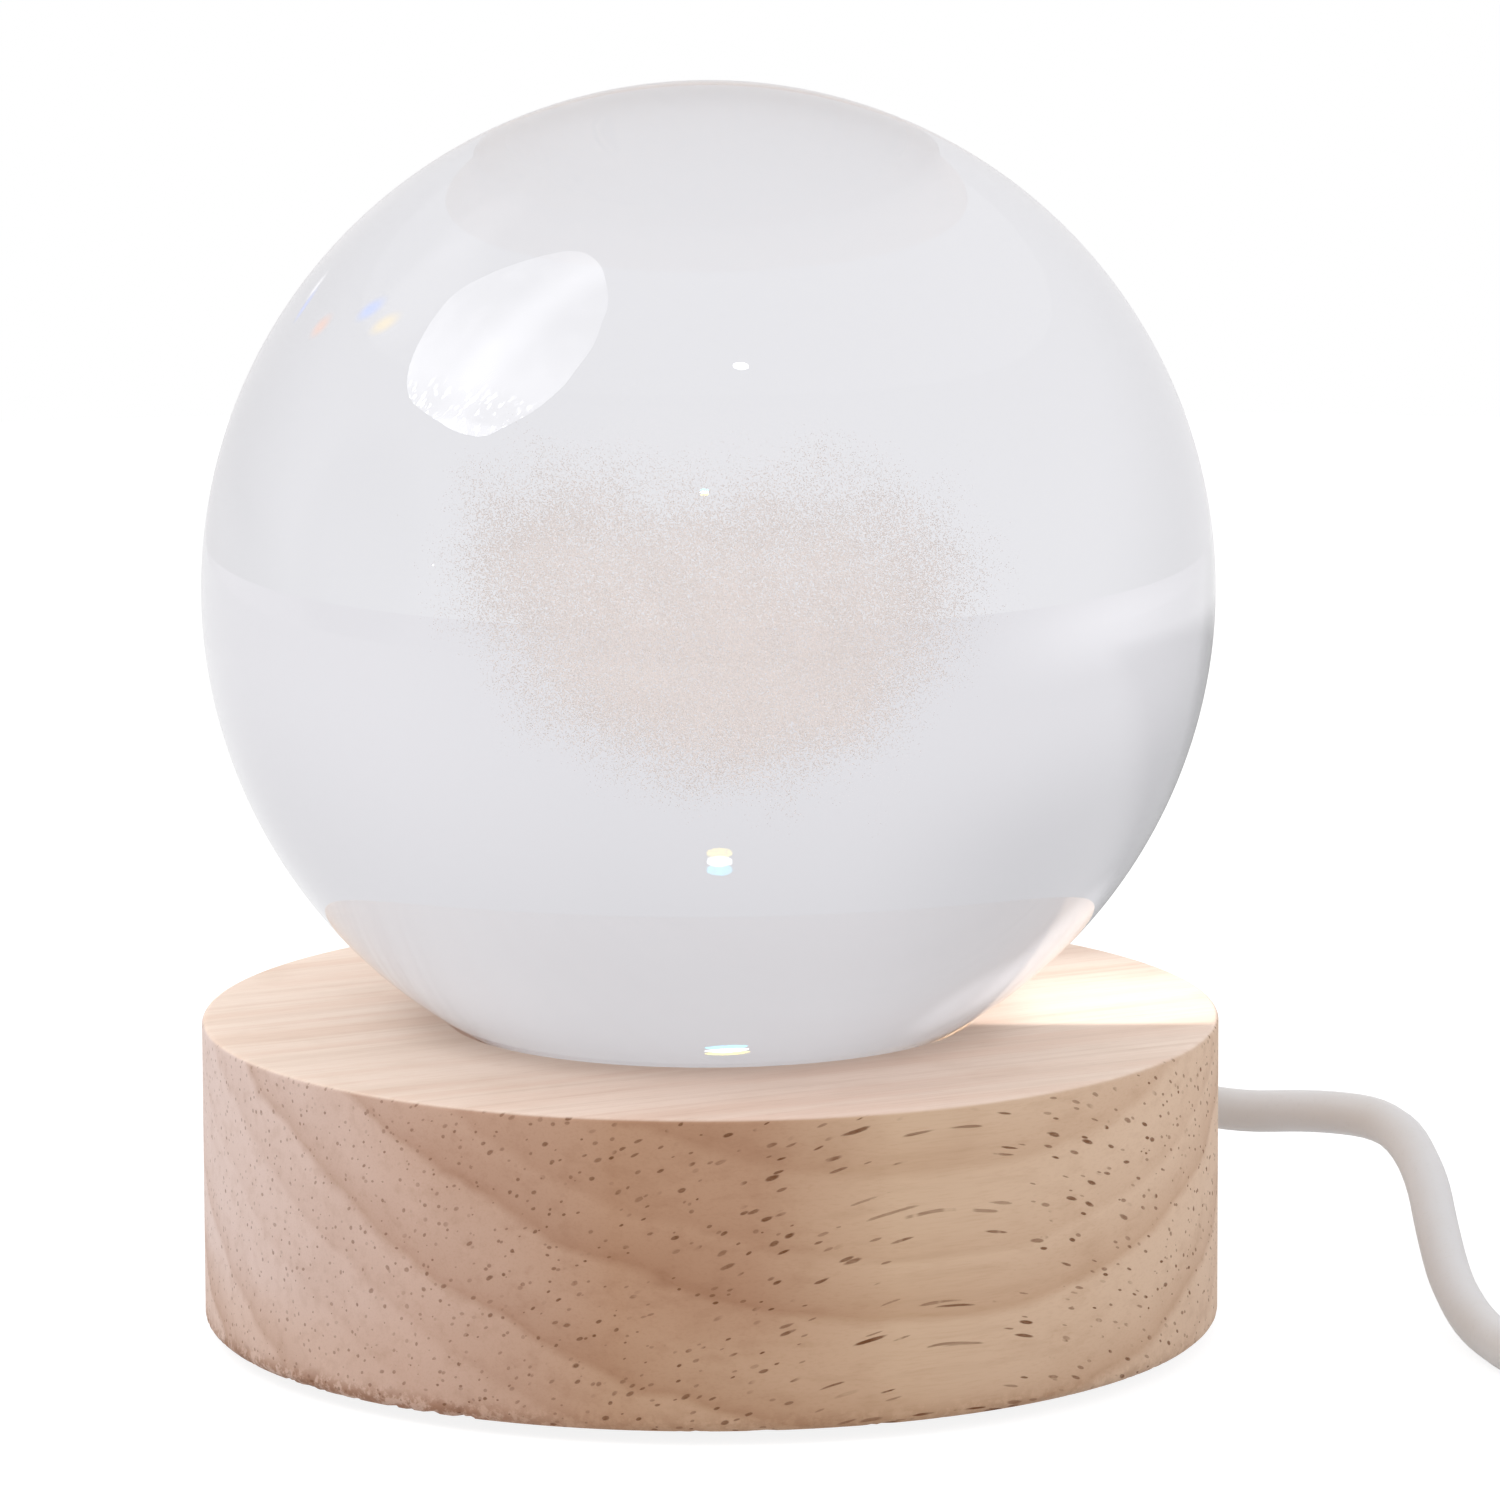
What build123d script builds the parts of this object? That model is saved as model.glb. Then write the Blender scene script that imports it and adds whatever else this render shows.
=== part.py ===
from build123d import *
import math
import os

os.makedirs("parts", exist_ok=True)

# Driving dimensions, millimetres

# Glass ball and its wooden base
ball_diameter = 80.0
base_diameter = 80.7
base_height = 24.4
base_top_fillet = 0.5
base_bottom_chamfer = 0.6
seat_diameter = 41.6
seat_clearance = 0.2
bore_diameter = 38.0
foot_height = 1.0
foot_diameter = 8.0
foot_circle = 48.0
foot_count = 4
foot_azimuth = 45.0
foot_edge = 0.3

# Light stack that hangs under the bore, from the top down
window_gap = 1.0
window_thickness = 1.4
spacer_thickness = 1.8
spacer_opening = 34.0
spacer_flare = 2.0
board_thickness = 1.2
pocket_diameter = 54.0
stack_clearance = 0.2
led_side = 3.5
led_height = 1.2
led_circle = 17.0
led_count = 4
resistor_size = (2.0, 1.25, 0.5)
resistor_pitch = 4.0
resistor_count = 3

# Wood screws that hold the light stack and the cover
board_screw_inset = 3.5
board_screw_diameter = 2.2
board_screw_length = 8.0
board_screw_head = (4.2, 1.4)
board_screw_azimuth = 103.0
cover_screw_circle = 60.0
cover_screw_diameter = 2.6
cover_screw_length = 7.0
cover_screw_head = (5.0, 1.2)
screw_count = 3
screw_slack = 0.05
pilot_spare = 0.3
slot_width = 0.7

# Bottom cover in its rebate
cover_thickness = 1.6
cover_recess = 0.2
rebate_diameter = 66.0
cover_clearance = 0.2

# Cord and where it leaves the base
cord_diameter = 3.5
cord_hole_clearance = 0.3
hole_below_board = 0.12
exit_azimuth = 43.0
exit_run = 8.0
sheath_end_radius = 16.0
tie_from_wall = 3.4
tie_width = 2.6
tie_thickness = 1.0
tie_head = (4.4, 3.2)
board_notch = (8.0, 7.0)
wire_diameter = 1.1
wire_spread = 0.8
wire_bend = 1.1
wire_end_radius = 10.5

# In-line switch, its length along X
switch_centre = (109.5, -38.0)
switch_length = 40.0
switch_width = 14.0
switch_split = 5.0
switch_height = 11.0
switch_wall = 1.5
switch_corner = 3.0
switch_edge = 1.2
switch_cord_slack = 0.05
switch_cord_depth = 4.0
rocker_radius = 7.2
rocker_width = 8.0
rocker_crown = 3.0
rocker_keel = 2.0
rocker_angle = 9.0
rocker_clearance = 0.3
pin_diameter = 1.5
pin_grip = 0.8
pin_slack = 0.05
pin_height = 8.2
contact_size = (7.0, 3.4, 0.6)
contact_offset = (5.0, 2.1)
contact_height = 3.0
switch_wire_drop = 0.8
boss_diameter = 4.0
boss_from_middle = 12.5
boss_into_wall = 0.3
case_screw_diameter = 2.0
case_screw_head = (3.6, 1.4)
case_screw_length = 6.2

# Plug on the far end, pointing along -X
plug_tail_x = 124.5
plug_y = 34.0
relief_length = 10.0
relief_tail_diameter = 5.0
relief_root_diameter = 6.6
relief_grooves = 4
relief_groove_width = 0.8
relief_groove_depth = 0.6
grip_length = 22.0
grip_width = 15.6
grip_thickness = 7.6
grip_corner = 2.4
tongue_shell = (12.0, 4.5)
tongue_shell_wall = 0.35
tongue_shell_out = 11.75
tongue_shell_in = 7.0
tongue_slack = 0.03
tongue_thickness = 1.84
shell_window = (2.0, 2.3)
shell_window_spread = 2.85
shell_window_back = 5.2
plug_contact_size = (8.0, 1.0, 0.2)
plug_contact_places = (-3.5, -1.0, 1.0, 3.5)

# Coil of the spare cord: layers of turns that spiral in and out again
coil_centre = (120.5, -4.0)
coil_mean_radius = 20.0
coil_layers = 4
turns_per_layer = 2
turn_gap = 0.5
coil_lift = 0.7
coil_tie_azimuth = 200.0
coil_tie_width = 5.0
coil_tie_thickness = 0.5
coil_tie_clearance = 0.4

# Heights and places that follow from them

ball_radius = ball_diameter / 2
base_radius = base_diameter / 2
cord_radius = cord_diameter / 2
base_top = foot_height + base_height
ball_rise = math.sqrt(ball_radius ** 2 - (seat_diameter / 2) ** 2)
ball_height = base_top + ball_rise
roof_height = ball_height - ball_radius - window_gap
window_bottom = roof_height - window_thickness
spacer_bottom = window_bottom - spacer_thickness
board_bottom = spacer_bottom - board_thickness
cover_bottom = foot_height + cover_recess
cover_top = cover_bottom + cover_thickness
cord_hole_radius = cord_radius + cord_hole_clearance
exit_height = board_bottom - hole_below_board - cord_hole_radius
stack_radius = pocket_diameter / 2 - stack_clearance
board_screw_circle = pocket_diameter - 2 * board_screw_inset
tie_radius = pocket_diameter / 2 - tie_from_wall - tie_width
turn_pitch = cord_diameter + turn_gap
coil_floor = cord_radius + coil_lift
coil_top = coil_floor + (coil_layers - 1) * turn_pitch
coil_edge = coil_centre[0] + coil_mean_radius + turns_per_layer * turn_pitch / 2
plug_height = grip_thickness / 2


def exit_point(radius, height=None, aside=0.0):
    """Point on the cord's line through the base, at a radius from the axis."""
    turn = math.radians(exit_azimuth)
    x = radius * math.cos(turn) - aside * math.sin(turn)
    y = radius * math.sin(turn) + aside * math.cos(turn)
    return (x, y, exit_height if height is None else height)


# Routes of the cord's free stretches, from point to point

lead_route = [
    exit_point(base_radius),
    exit_point(base_radius + exit_run),
    (42.9, 34.6, 9.6),
    (50.4, 33.2, 10.1),
    (56.2, 27.9, 10.3),
    (58.3, 19.7, 7.8),
    (58.6, 9.6, 5.0),
    (59.1, -1.5, 2.9),
    (60.8, -12.7, 1.75),
    (64.7, -23.7, 1.75),
    (69.6, -32.0, 1.75),
    (77.5, -37.4, 2.8),
    (85.6, -38.0, 5.0),
    (switch_centre[0] - switch_length / 2 + switch_cord_depth, switch_centre[1], switch_split),
]
to_coil_route = [
    (switch_centre[0] + switch_length / 2 - switch_cord_depth, switch_centre[1], switch_split),
    (133.4, -38.0, 5.0),
    (140.2, -34.6, 3.6),
    (144.0, -26.6, 2.7),
    (coil_edge, -16.5, coil_floor),
    (coil_edge, coil_centre[1] - cord_diameter, coil_floor),
]
to_plug_route = [
    (coil_edge, coil_centre[1] + cord_diameter, coil_top),
    (coil_edge, 7.4, coil_top),
    (144.3, 15.5, 12.6),
    (142.6, 23.5, 9.3),
    (138.5, 30.5, 6.1),
    (132.0, 34.0, 3.8),
    (plug_tail_x, plug_y, plug_height),
]


# Helpers

def ring_places(count, circle, first=0.0):
    """Azimuth and x, y of evenly spaced places on a circle."""
    for step in range(count):
        azimuth = first + 360.0 * step / count
        turn = math.radians(azimuth)
        yield azimuth, circle / 2 * math.cos(turn), circle / 2 * math.sin(turn)


def rod(start, end, radius):
    """Round bar from one point to another."""
    start, end = Vector(*start), Vector(*end)
    middle = Plane(origin=(start + end) / 2, z_dir=end - start)
    return middle * Cylinder(radius, (end - start).length)


def disc(radius, low, high):
    return Pos(0, 0, (low + high) / 2) * Cylinder(radius, high - low)


def block(x_range, y_range, z_range):
    sizes = [high - low for low, high in (x_range, y_range, z_range)]
    middle = [(high + low) / 2 for low, high in (x_range, y_range, z_range)]
    return Pos(*middle) * Box(*sizes)


def route_tube(name, route, radius, bend=None):
    """Tube along straight runs joined by tangent arcs."""
    points = [Vector(*point) for point in route]
    radii = []
    for before, here, after in zip(points, points[1:], points[2:]):
        shorter = min((here - before).length, (after - here).length)
        turn = (here - before).get_angle(after - here)
        radii.append(bend or 0.45 * shorter / math.tan(math.radians(turn / 2)))
    path = FilletPolyline(*points, radius=radii)
    face = Plane(origin=points[0], z_dir=points[1] - points[0]) * Circle(radius)
    tube = sweep(face, path=path)
    expected = math.pi * radius ** 2 * path.length
    print(f"{name}: length {path.length:.1f} mm, volume {tube.volume / expected:.4f} of section x length,"
          f" radii {[round(value, 1) for value in radii]}")
    return tube, path.length


def cross_slot(width, span, depth):
    """Cross recess of a screw head, opening downwards from its face at z = 0."""
    bar = Pos(0, 0, depth / 2) * Box(span, width, depth)
    return bar + Rot(0, 0, 90) * bar


def keep(name, shape):
    export_step(shape, f"parts/{name}.step")


def group(pieces):
    return Compound(children=list(pieces))


# Glass ball and wooden base

def crystal_ball():
    return Pos(0, 0, ball_height) * Sphere(ball_radius)


def wood_base():
    wood = disc(base_radius, foot_height, base_top)
    wood = fillet(wood.edges().sort_by(Axis.Z)[-1], base_top_fillet)
    wood = chamfer(wood.edges().sort_by(Axis.Z)[0], base_bottom_chamfer)
    wood -= disc(bore_diameter / 2, foot_height - 1, base_top + 1)
    wood -= Pos(0, 0, ball_height) * Sphere(ball_radius + seat_clearance)
    wood -= disc(pocket_diameter / 2, foot_height - 1, roof_height)
    wood -= disc(rebate_diameter / 2, foot_height - 1, cover_top)
    wood -= rod(exit_point(sheath_end_radius), exit_point(base_radius + 2), cord_hole_radius)
    for _, x, y in ring_places(screw_count, board_screw_circle, board_screw_azimuth):
        top = board_bottom + board_screw_length + pilot_spare
        wood -= rod((x, y, roof_height - 1), (x, y, top), board_screw_diameter / 2 + screw_slack)
    for _, x, y in ring_places(screw_count, cover_screw_circle):
        top = cover_bottom + cover_screw_length + pilot_spare
        wood -= rod((x, y, cover_top - 1), (x, y, top), cover_screw_diameter / 2 + screw_slack)
    return wood


def foot_pads():
    """Pads under the bottom cover, which lift the wood by the foot height."""
    pads = []
    for _, x, y in ring_places(foot_count, foot_circle, foot_azimuth):
        pad = Pos(x, y, cover_bottom / 2) * Cylinder(foot_diameter / 2, cover_bottom)
        pads.append(fillet(pad.edges().sort_by(Axis.Z)[0], foot_edge))
    return group(pads)


# Light stack

def stack_holes():
    """Clearance holes of the stack's screws."""
    holes = []
    for _, x, y in ring_places(screw_count, board_screw_circle, board_screw_azimuth):
        hole = rod((x, y, board_bottom - 1), (x, y, roof_height + 1), board_screw_diameter / 2 + screw_slack)
        holes.append(hole)
    return holes


def light_window():
    window = disc(stack_radius, window_bottom, roof_height)
    for hole in stack_holes():
        window -= hole
    return window


def light_spacer():
    spacer = disc(stack_radius, spacer_bottom, window_bottom)
    flare = Cone(spacer_opening / 2, spacer_opening / 2 + spacer_flare, spacer_thickness)
    spacer -= Pos(0, 0, (spacer_bottom + window_bottom) / 2) * flare
    for hole in stack_holes():
        spacer -= hole
    return spacer


def led_board():
    board = disc(stack_radius, board_bottom, spacer_bottom)
    for hole in stack_holes():
        board -= hole
    notch_width, notch_depth = board_notch
    middle = stack_radius - notch_depth / 2 + 1
    notch = Pos(middle, 0, (board_bottom + spacer_bottom) / 2)
    notch *= Box(notch_depth + 2, notch_width, board_thickness + 1)
    return board - Rot(0, 0, exit_azimuth) * notch


def leds():
    chips = []
    for azimuth, x, y in ring_places(led_count, led_circle, exit_azimuth):
        body = Box(led_side, led_side, led_height)
        cup = Pos(0, 0, led_height / 2) * Cylinder(led_side * 0.38, led_height * 0.4)
        chips.append(Pos(x, y, spacer_bottom + led_height / 2) * Rot(0, 0, azimuth) * (body - cup))
    return group(chips)


def resistors():
    length, width, height = resistor_size
    chips = []
    for step in range(resistor_count):
        x = (step - (resistor_count - 1) / 2) * resistor_pitch
        chips.append(Pos(x, -resistor_pitch * 2, board_bottom - height / 2) * Box(width, length, height))
    return group(chips)


def board_screw(x, y):
    head_diameter, head_height = board_screw_head
    shank = rod((x, y, board_bottom), (x, y, board_bottom + board_screw_length), board_screw_diameter / 2)
    head = Pos(x, y, board_bottom - head_height / 2) * Cylinder(head_diameter / 2, head_height)
    head = fillet(head.edges().sort_by(Axis.Z)[0], head_height * 0.35)
    slot = Pos(x, y, board_bottom - head_height)
    return shank + head - slot * cross_slot(slot_width, head_diameter * 0.6, head_height * 0.5)


def board_screws():
    places = ring_places(screw_count, board_screw_circle, board_screw_azimuth)
    return group(board_screw(x, y) for _, x, y in places)


# Bottom cover

def cover_screw_cone(slack=0.0):
    """Countersunk head, its face down at z = 0."""
    diameter, height = cover_screw_head
    cone = Cone(diameter / 2 + slack, cover_screw_diameter / 2 + slack, height)
    return Pos(0, 0, height / 2) * cone


def bottom_cover():
    cover = disc(rebate_diameter / 2 - cover_clearance, cover_bottom, cover_top)
    for _, x, y in ring_places(screw_count, cover_screw_circle):
        cover -= Pos(x, y, cover_bottom) * cover_screw_cone(screw_slack)
        cover -= rod((x, y, cover_bottom), (x, y, cover_top + 1), cover_screw_diameter / 2 + screw_slack)
    return cover


def cover_screws():
    diameter, height = cover_screw_head
    screws = []
    for _, x, y in ring_places(screw_count, cover_screw_circle):
        shank = rod((x, y, cover_bottom), (x, y, cover_bottom + cover_screw_length), cover_screw_diameter / 2)
        head = Pos(x, y, cover_bottom) * cover_screw_cone()
        slot = Pos(x, y, cover_bottom) * cross_slot(slot_width, diameter * 0.6, height * 0.6)
        screws.append(shank + head - slot)
    return group(screws)


# Cord inside the base

def cord_entry():
    return rod(exit_point(sheath_end_radius), exit_point(base_radius), cord_radius)


def cable_tie():
    head_side, head_height = tie_head
    outer = cord_radius + tie_thickness
    band = rod(exit_point(tie_radius), exit_point(tie_radius + tie_width), outer)
    head = Pos(tie_radius + tie_width / 2, 0, exit_height - outer - head_height / 2 + tie_thickness)
    head *= Box(tie_width, head_side, head_height)
    tie = band + Rot(0, 0, exit_azimuth) * head
    return tie - rod(exit_point(tie_radius - 1), exit_point(tie_radius + tie_width + 1), cord_radius)


def inner_wire(name, aside):
    route = [
        exit_point(sheath_end_radius, exit_height, aside),
        exit_point(wire_end_radius, exit_height, aside),
        exit_point(wire_end_radius, board_bottom, aside),
    ]
    return route_tube(name, route, wire_diameter / 2, wire_bend)[0]


# In-line switch

switch_place = Pos(switch_centre[0], switch_centre[1], 0)


def case_block(low, high, inset=0.0):
    """Rounded block of the switch's plan, drawn in by inset."""
    plan = RectangleRounded(switch_length - 2 * inset, switch_width - 2 * inset, switch_corner - inset)
    return Pos(0, 0, low) * extrude(plan, amount=high - low)


def case_cord_bore():
    """Round ways for the cord through both ends of the case."""
    reach = switch_length / 2
    radius = cord_radius + switch_cord_slack
    bore = rod((-reach - 1, 0, switch_split), (-reach + switch_cord_depth, 0, switch_split), radius)
    return bore + Rot(0, 0, 180) * bore


def boss_places():
    y = switch_width / 2 - switch_wall - boss_diameter / 2 + boss_into_wall
    return [(-boss_from_middle, y), (boss_from_middle, -y)]


def contact_places():
    x, y = contact_offset
    return [(-x, y), (x, y)]


def switch_lower_shell():
    shell = case_block(0, switch_split)
    shell = fillet(shell.faces().sort_by(Axis.Z)[0].edges(), switch_edge)
    shell -= case_block(switch_wall, switch_split + 1, switch_wall)
    shell -= case_cord_bore()
    head_diameter, head_height = case_screw_head
    for x, y in boss_places():
        shell += rod((x, y, switch_wall), (x, y, switch_split), boss_diameter / 2)
    for x, y in boss_places():
        shell -= rod((x, y, -1), (x, y, head_height), head_diameter / 2 + screw_slack)
        shell -= rod((x, y, 0), (x, y, switch_split + 1), case_screw_diameter / 2 + screw_slack)
    length, width, _ = contact_size
    for x, y in contact_places():
        x_range = (x - length / 2 + 1, x + length / 2 - 1)
        shell += block(x_range, (y - width / 2, y + width / 2), (switch_wall, contact_height))
    return switch_place * shell


def switch_upper_shell():
    ceiling = switch_height - switch_wall
    shell = case_block(switch_split, switch_height)
    shell = fillet(shell.faces().sort_by(Axis.Z)[-1].edges(), switch_edge)
    shell -= case_block(switch_split - 1, ceiling, switch_wall)
    shell -= case_cord_bore()
    half_length = rocker_radius + rocker_clearance
    half_width = rocker_width / 2 + rocker_clearance
    shell -= block((-half_length, half_length), (-half_width, half_width), (ceiling - 1, switch_height + 1))
    for x, y in boss_places():
        shell += rod((x, y, switch_split), (x, y, ceiling), boss_diameter / 2)
    for x, y in boss_places():
        top = case_screw_head[1] + case_screw_length + pilot_spare
        shell -= rod((x, y, switch_split - 1), (x, y, top), case_screw_diameter / 2 + screw_slack)
    pin_reach = switch_width / 2 - switch_wall + pin_grip
    shell -= rod((0, -pin_reach, pin_height), (0, pin_reach, pin_height), pin_diameter / 2)
    return switch_place * shell


def switch_rocker():
    """See-saw button, tipped to its off side."""
    half = rocker_radius
    rise = rocker_crown + half * math.tan(math.radians(rocker_angle))
    outline = Polyline(
        (-half, -rocker_keel), (half, -rocker_keel), (half, rise), (0, rocker_crown), (-half, rise),
        close=True,
    )
    side = Plane(origin=(0, rocker_width / 2, 0), x_dir=(1, 0, 0), z_dir=(0, -1, 0))
    rocker = extrude(side * make_face(outline), amount=rocker_width)
    rocker &= Rot(90, 0, 0) * Cylinder(rocker_radius, rocker_width + 2)
    rocker -= Rot(90, 0, 0) * Cylinder(pin_diameter / 2 + pin_slack, rocker_width + 2)
    return switch_place * Pos(0, 0, pin_height) * Rot(0, rocker_angle, 0) * rocker


def switch_pin():
    reach = switch_width / 2 - switch_wall + pin_grip
    return switch_place * rod((0, -reach, pin_height), (0, reach, pin_height), pin_diameter / 2)


def switch_contacts():
    length, width, height = contact_size
    strips = []
    for x, y in contact_places():
        strip = Pos(x, y, contact_height + height / 2) * Box(length, width, height)
        stud = Pos(x + math.copysign(1.5, -x), y + 0.6, contact_height + height + 0.2) * Cylinder(0.7, 0.4)
        strips.append(switch_place * (strip + stud))
    return group(strips)


def switch_wires():
    """One wire runs through, the other ends on the two contacts."""
    end = switch_length / 2 - switch_cord_depth
    height = switch_split - switch_wire_drop
    radius = wire_diameter / 2
    stop = contact_offset[0]
    wires = [rod((-end, -wire_spread, height), (end, -wire_spread, height), radius)]
    wires.append(rod((-end, wire_spread, height), (-stop, wire_spread, height), radius))
    wires.append(rod((stop, wire_spread, height), (end, wire_spread, height), radius))
    return group(switch_place * wire for wire in wires)


def switch_screws():
    head_diameter, head_height = case_screw_head
    screws = []
    for x, y in boss_places():
        shank_top = head_height + case_screw_length
        shank = rod((x, y, head_height), (x, y, shank_top), case_screw_diameter / 2)
        head = rod((x, y, 0.3), (x, y, head_height), head_diameter / 2)
        slot = Pos(x, y, 0.3) * cross_slot(slot_width, head_diameter * 0.6, head_height * 0.4)
        screws.append(switch_place * (shank + head - slot))
    return group(screws)


# Plug

plug_place = Pos(plug_tail_x, plug_y, plug_height) * Rot(0, 0, 180)


def plug_grip():
    """Moulded grip with its ribbed strain relief, drawn along +X from the tail."""
    cone = Cone(relief_tail_diameter / 2, relief_root_diameter / 2, relief_length)
    relief = Pos(relief_length / 2, 0, 0) * Rot(0, 90, 0) * cone
    pitch = (relief_length - 2) / relief_grooves
    for step in range(relief_grooves):
        x = 1.6 + step * pitch
        growth = (relief_root_diameter - relief_tail_diameter) / relief_length
        local = (relief_tail_diameter + growth * x) / 2
        outer = rod((x, 0, 0), (x + relief_groove_width, 0, 0), relief_root_diameter)
        inner = rod((x - 1, 0, 0), (x + relief_groove_width + 1, 0, 0), local - relief_groove_depth)
        relief -= outer - inner
    face = Plane(origin=(relief_length, 0, 0), x_dir=(0, 1, 0), z_dir=(1, 0, 0))
    grip = extrude(face * RectangleRounded(grip_width, grip_thickness, grip_corner), amount=grip_length)
    grip = fillet(grip.faces().sort_by(Axis.X)[0].edges(), 1.6)
    grip = fillet(grip.faces().sort_by(Axis.X)[-1].edges(), 0.6)
    mouth = relief_length + grip_length
    width, height = tongue_shell
    y_half = width / 2 + tongue_slack
    z_half = height / 2 + tongue_slack
    socket = block((mouth - tongue_shell_in, mouth + 1), (-y_half, y_half), (-z_half, z_half))
    return plug_place * (relief + grip - socket)


def plug_shell():
    start = relief_length + grip_length - tongue_shell_in
    length = tongue_shell_in + tongue_shell_out
    width, height = tongue_shell
    face = Plane(origin=(start, 0, 0), x_dir=(0, 1, 0), z_dir=(1, 0, 0))
    shell = extrude(face * RectangleRounded(width, height, 0.6), amount=length)
    shell -= extrude(
        face * RectangleRounded(width - 2 * tongue_shell_wall, height - 2 * tongue_shell_wall, 0.3),
        amount=length,
    )
    window_length, window_width = shell_window
    x = start + length - shell_window_back
    for y in (-shell_window_spread, shell_window_spread):
        shell -= Pos(x, y, 0) * Box(window_length, window_width, height + 1)
    return plug_place * shell


def plug_insert():
    start = relief_length + grip_length - tongue_shell_in
    width = tongue_shell[0] / 2 - tongue_shell_wall - tongue_slack
    top = tongue_shell[1] / 2 - tongue_shell_wall - tongue_slack
    end = start + tongue_shell_in + tongue_shell_out - 0.6
    back = block((start, start + tongue_shell_in), (-width + 0.3, width - 0.3), (-top, top))
    tongue = block((start, end), (-width + 0.3, width - 0.3), (top - tongue_thickness, top))
    return plug_place * (back + tongue)


def plug_contacts():
    length, width, height = plug_contact_size
    start = relief_length + grip_length + 1.0
    top = tongue_shell[1] / 2 - tongue_shell_wall - tongue_slack - tongue_thickness
    strips = []
    for y in plug_contact_places:
        strip = block((start, start + length), (y - width / 2, y + width / 2), (top - height, top))
        strips.append(plug_place * strip)
    return group(strips)


# Coil of spare cord

def coil_radius(turns):
    """Centreline radius after so many turns: in, out, in, out."""
    within = turns % (2 * turns_per_layer)
    inward = min(within, 2 * turns_per_layer - within)
    return coil_mean_radius + turn_pitch * (turns_per_layer / 2 - inward)


def coil_level(turns):
    """Centreline height: each climb takes the half turn where the spiral reverses."""
    height = coil_floor
    for layer in range(1, coil_layers):
        through = (turns - (layer * turns_per_layer - 0.25)) / 0.5
        through = min(1.0, max(0.0, through))
        height += turn_pitch * through * through * (3 - 2 * through)
    return height


def coil_point(turns):
    angle = 2 * math.pi * turns
    radius = coil_radius(turns)
    x = coil_centre[0] + radius * math.cos(angle)
    y = coil_centre[1] + radius * math.sin(angle)
    return Vector(x, y, coil_level(turns))


def coil_heading(turns):
    """Unit tangent, square to the coil's radius at the two ends."""
    if turns in (0, coil_layers * turns_per_layer):
        return Vector(0, 1, 0)
    step = 0.01
    return (coil_point(turns + step) - coil_point(turns - step)).normalized()


def biarc(start, start_heading, end, end_heading):
    """Two tangent arcs from one point and heading to another."""
    chord = end - start
    spread = 2 * (1 - start_heading.dot(end_heading))
    along = chord.dot(start_heading + end_heading)
    reach = (math.sqrt(along ** 2 + spread * chord.dot(chord)) - along) / spread
    middle = (start + end + (start_heading - end_heading) * reach) / 2
    first = Edge.make_tangent_arc(start, start_heading, middle)
    return [first, Edge.make_tangent_arc(middle, first.tangent_at(1), end)]


def coil_path():
    turns_total = coil_layers * turns_per_layer
    straight = Vector(0, cord_diameter, 0)
    first = coil_point(0)
    last = coil_point(turns_total)
    edges = [Edge.make_line(first - straight, first)]
    for quarter in range(turns_total * 4):
        low, high = quarter / 4, (quarter + 1) / 4
        edges += biarc(coil_point(low), coil_heading(low), coil_point(high), coil_heading(high))
    edges.append(Edge.make_line(last, last + straight))
    return edges


def least_gap(edges):
    """Least gap of the tube to itself, measured on points along its path."""
    spacing = 1.5
    points = []
    travelled = 0.0
    for edge in edges:
        count = max(2, math.ceil(edge.length / spacing))
        for step in range(count):
            points.append((travelled + edge.length * step / count, edge.position_at(step / count)))
        travelled += edge.length
    apart = math.pi * (coil_mean_radius - turns_per_layer * turn_pitch / 2)
    least = math.inf
    for index, (place, point) in enumerate(points):
        for other_place, other in points[index + 1:]:
            if other_place - place > apart:
                distance = (point.X - other.X) ** 2 + (point.Y - other.Y) ** 2 + (point.Z - other.Z) ** 2
                least = min(least, distance)
    return math.sqrt(least) - cord_diameter


def cord_coil():
    edges = coil_path()
    path = Wire(edges)
    face = Plane(origin=path.position_at(0), z_dir=(0, 1, 0)) * Circle(cord_radius)
    tube = sweep(face, path=path)
    expected = math.pi * cord_radius ** 2 * path.length
    print(f"cord_coil: {coil_layers * turns_per_layer} turns, length {path.length:.1f} mm,"
          f" volume {tube.volume / expected:.4f} of section x length, least gap {least_gap(edges):.2f} mm")
    return tube, path.length


def coil_tie():
    """Flat strap once round the bundle of turns."""
    share = coil_tie_azimuth / 360.0
    radii = [coil_radius(turn + share) for turn in range(coil_layers * turns_per_layer)]
    reach = cord_radius + coil_tie_clearance
    low, high = min(radii) - reach, max(radii) + reach
    top = coil_top + reach
    inner_width, inner_height = high - low, top - coil_tie_thickness
    middle = ((low + high) / 2, 0, (top + coil_tie_thickness) / 2)
    face = Plane(origin=middle, x_dir=(1, 0, 0), z_dir=(0, 1, 0))
    thick = 2 * coil_tie_thickness
    band = RectangleRounded(inner_width + thick, inner_height + thick, 1.0 + coil_tie_thickness)
    band -= RectangleRounded(inner_width, inner_height, 1.0)
    strap = extrude(face * band, amount=coil_tie_width / 2, both=True)
    return Pos(coil_centre[0], coil_centre[1], 0) * Rot(0, 0, coil_tie_azimuth) * strap


# Build and write every piece

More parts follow.
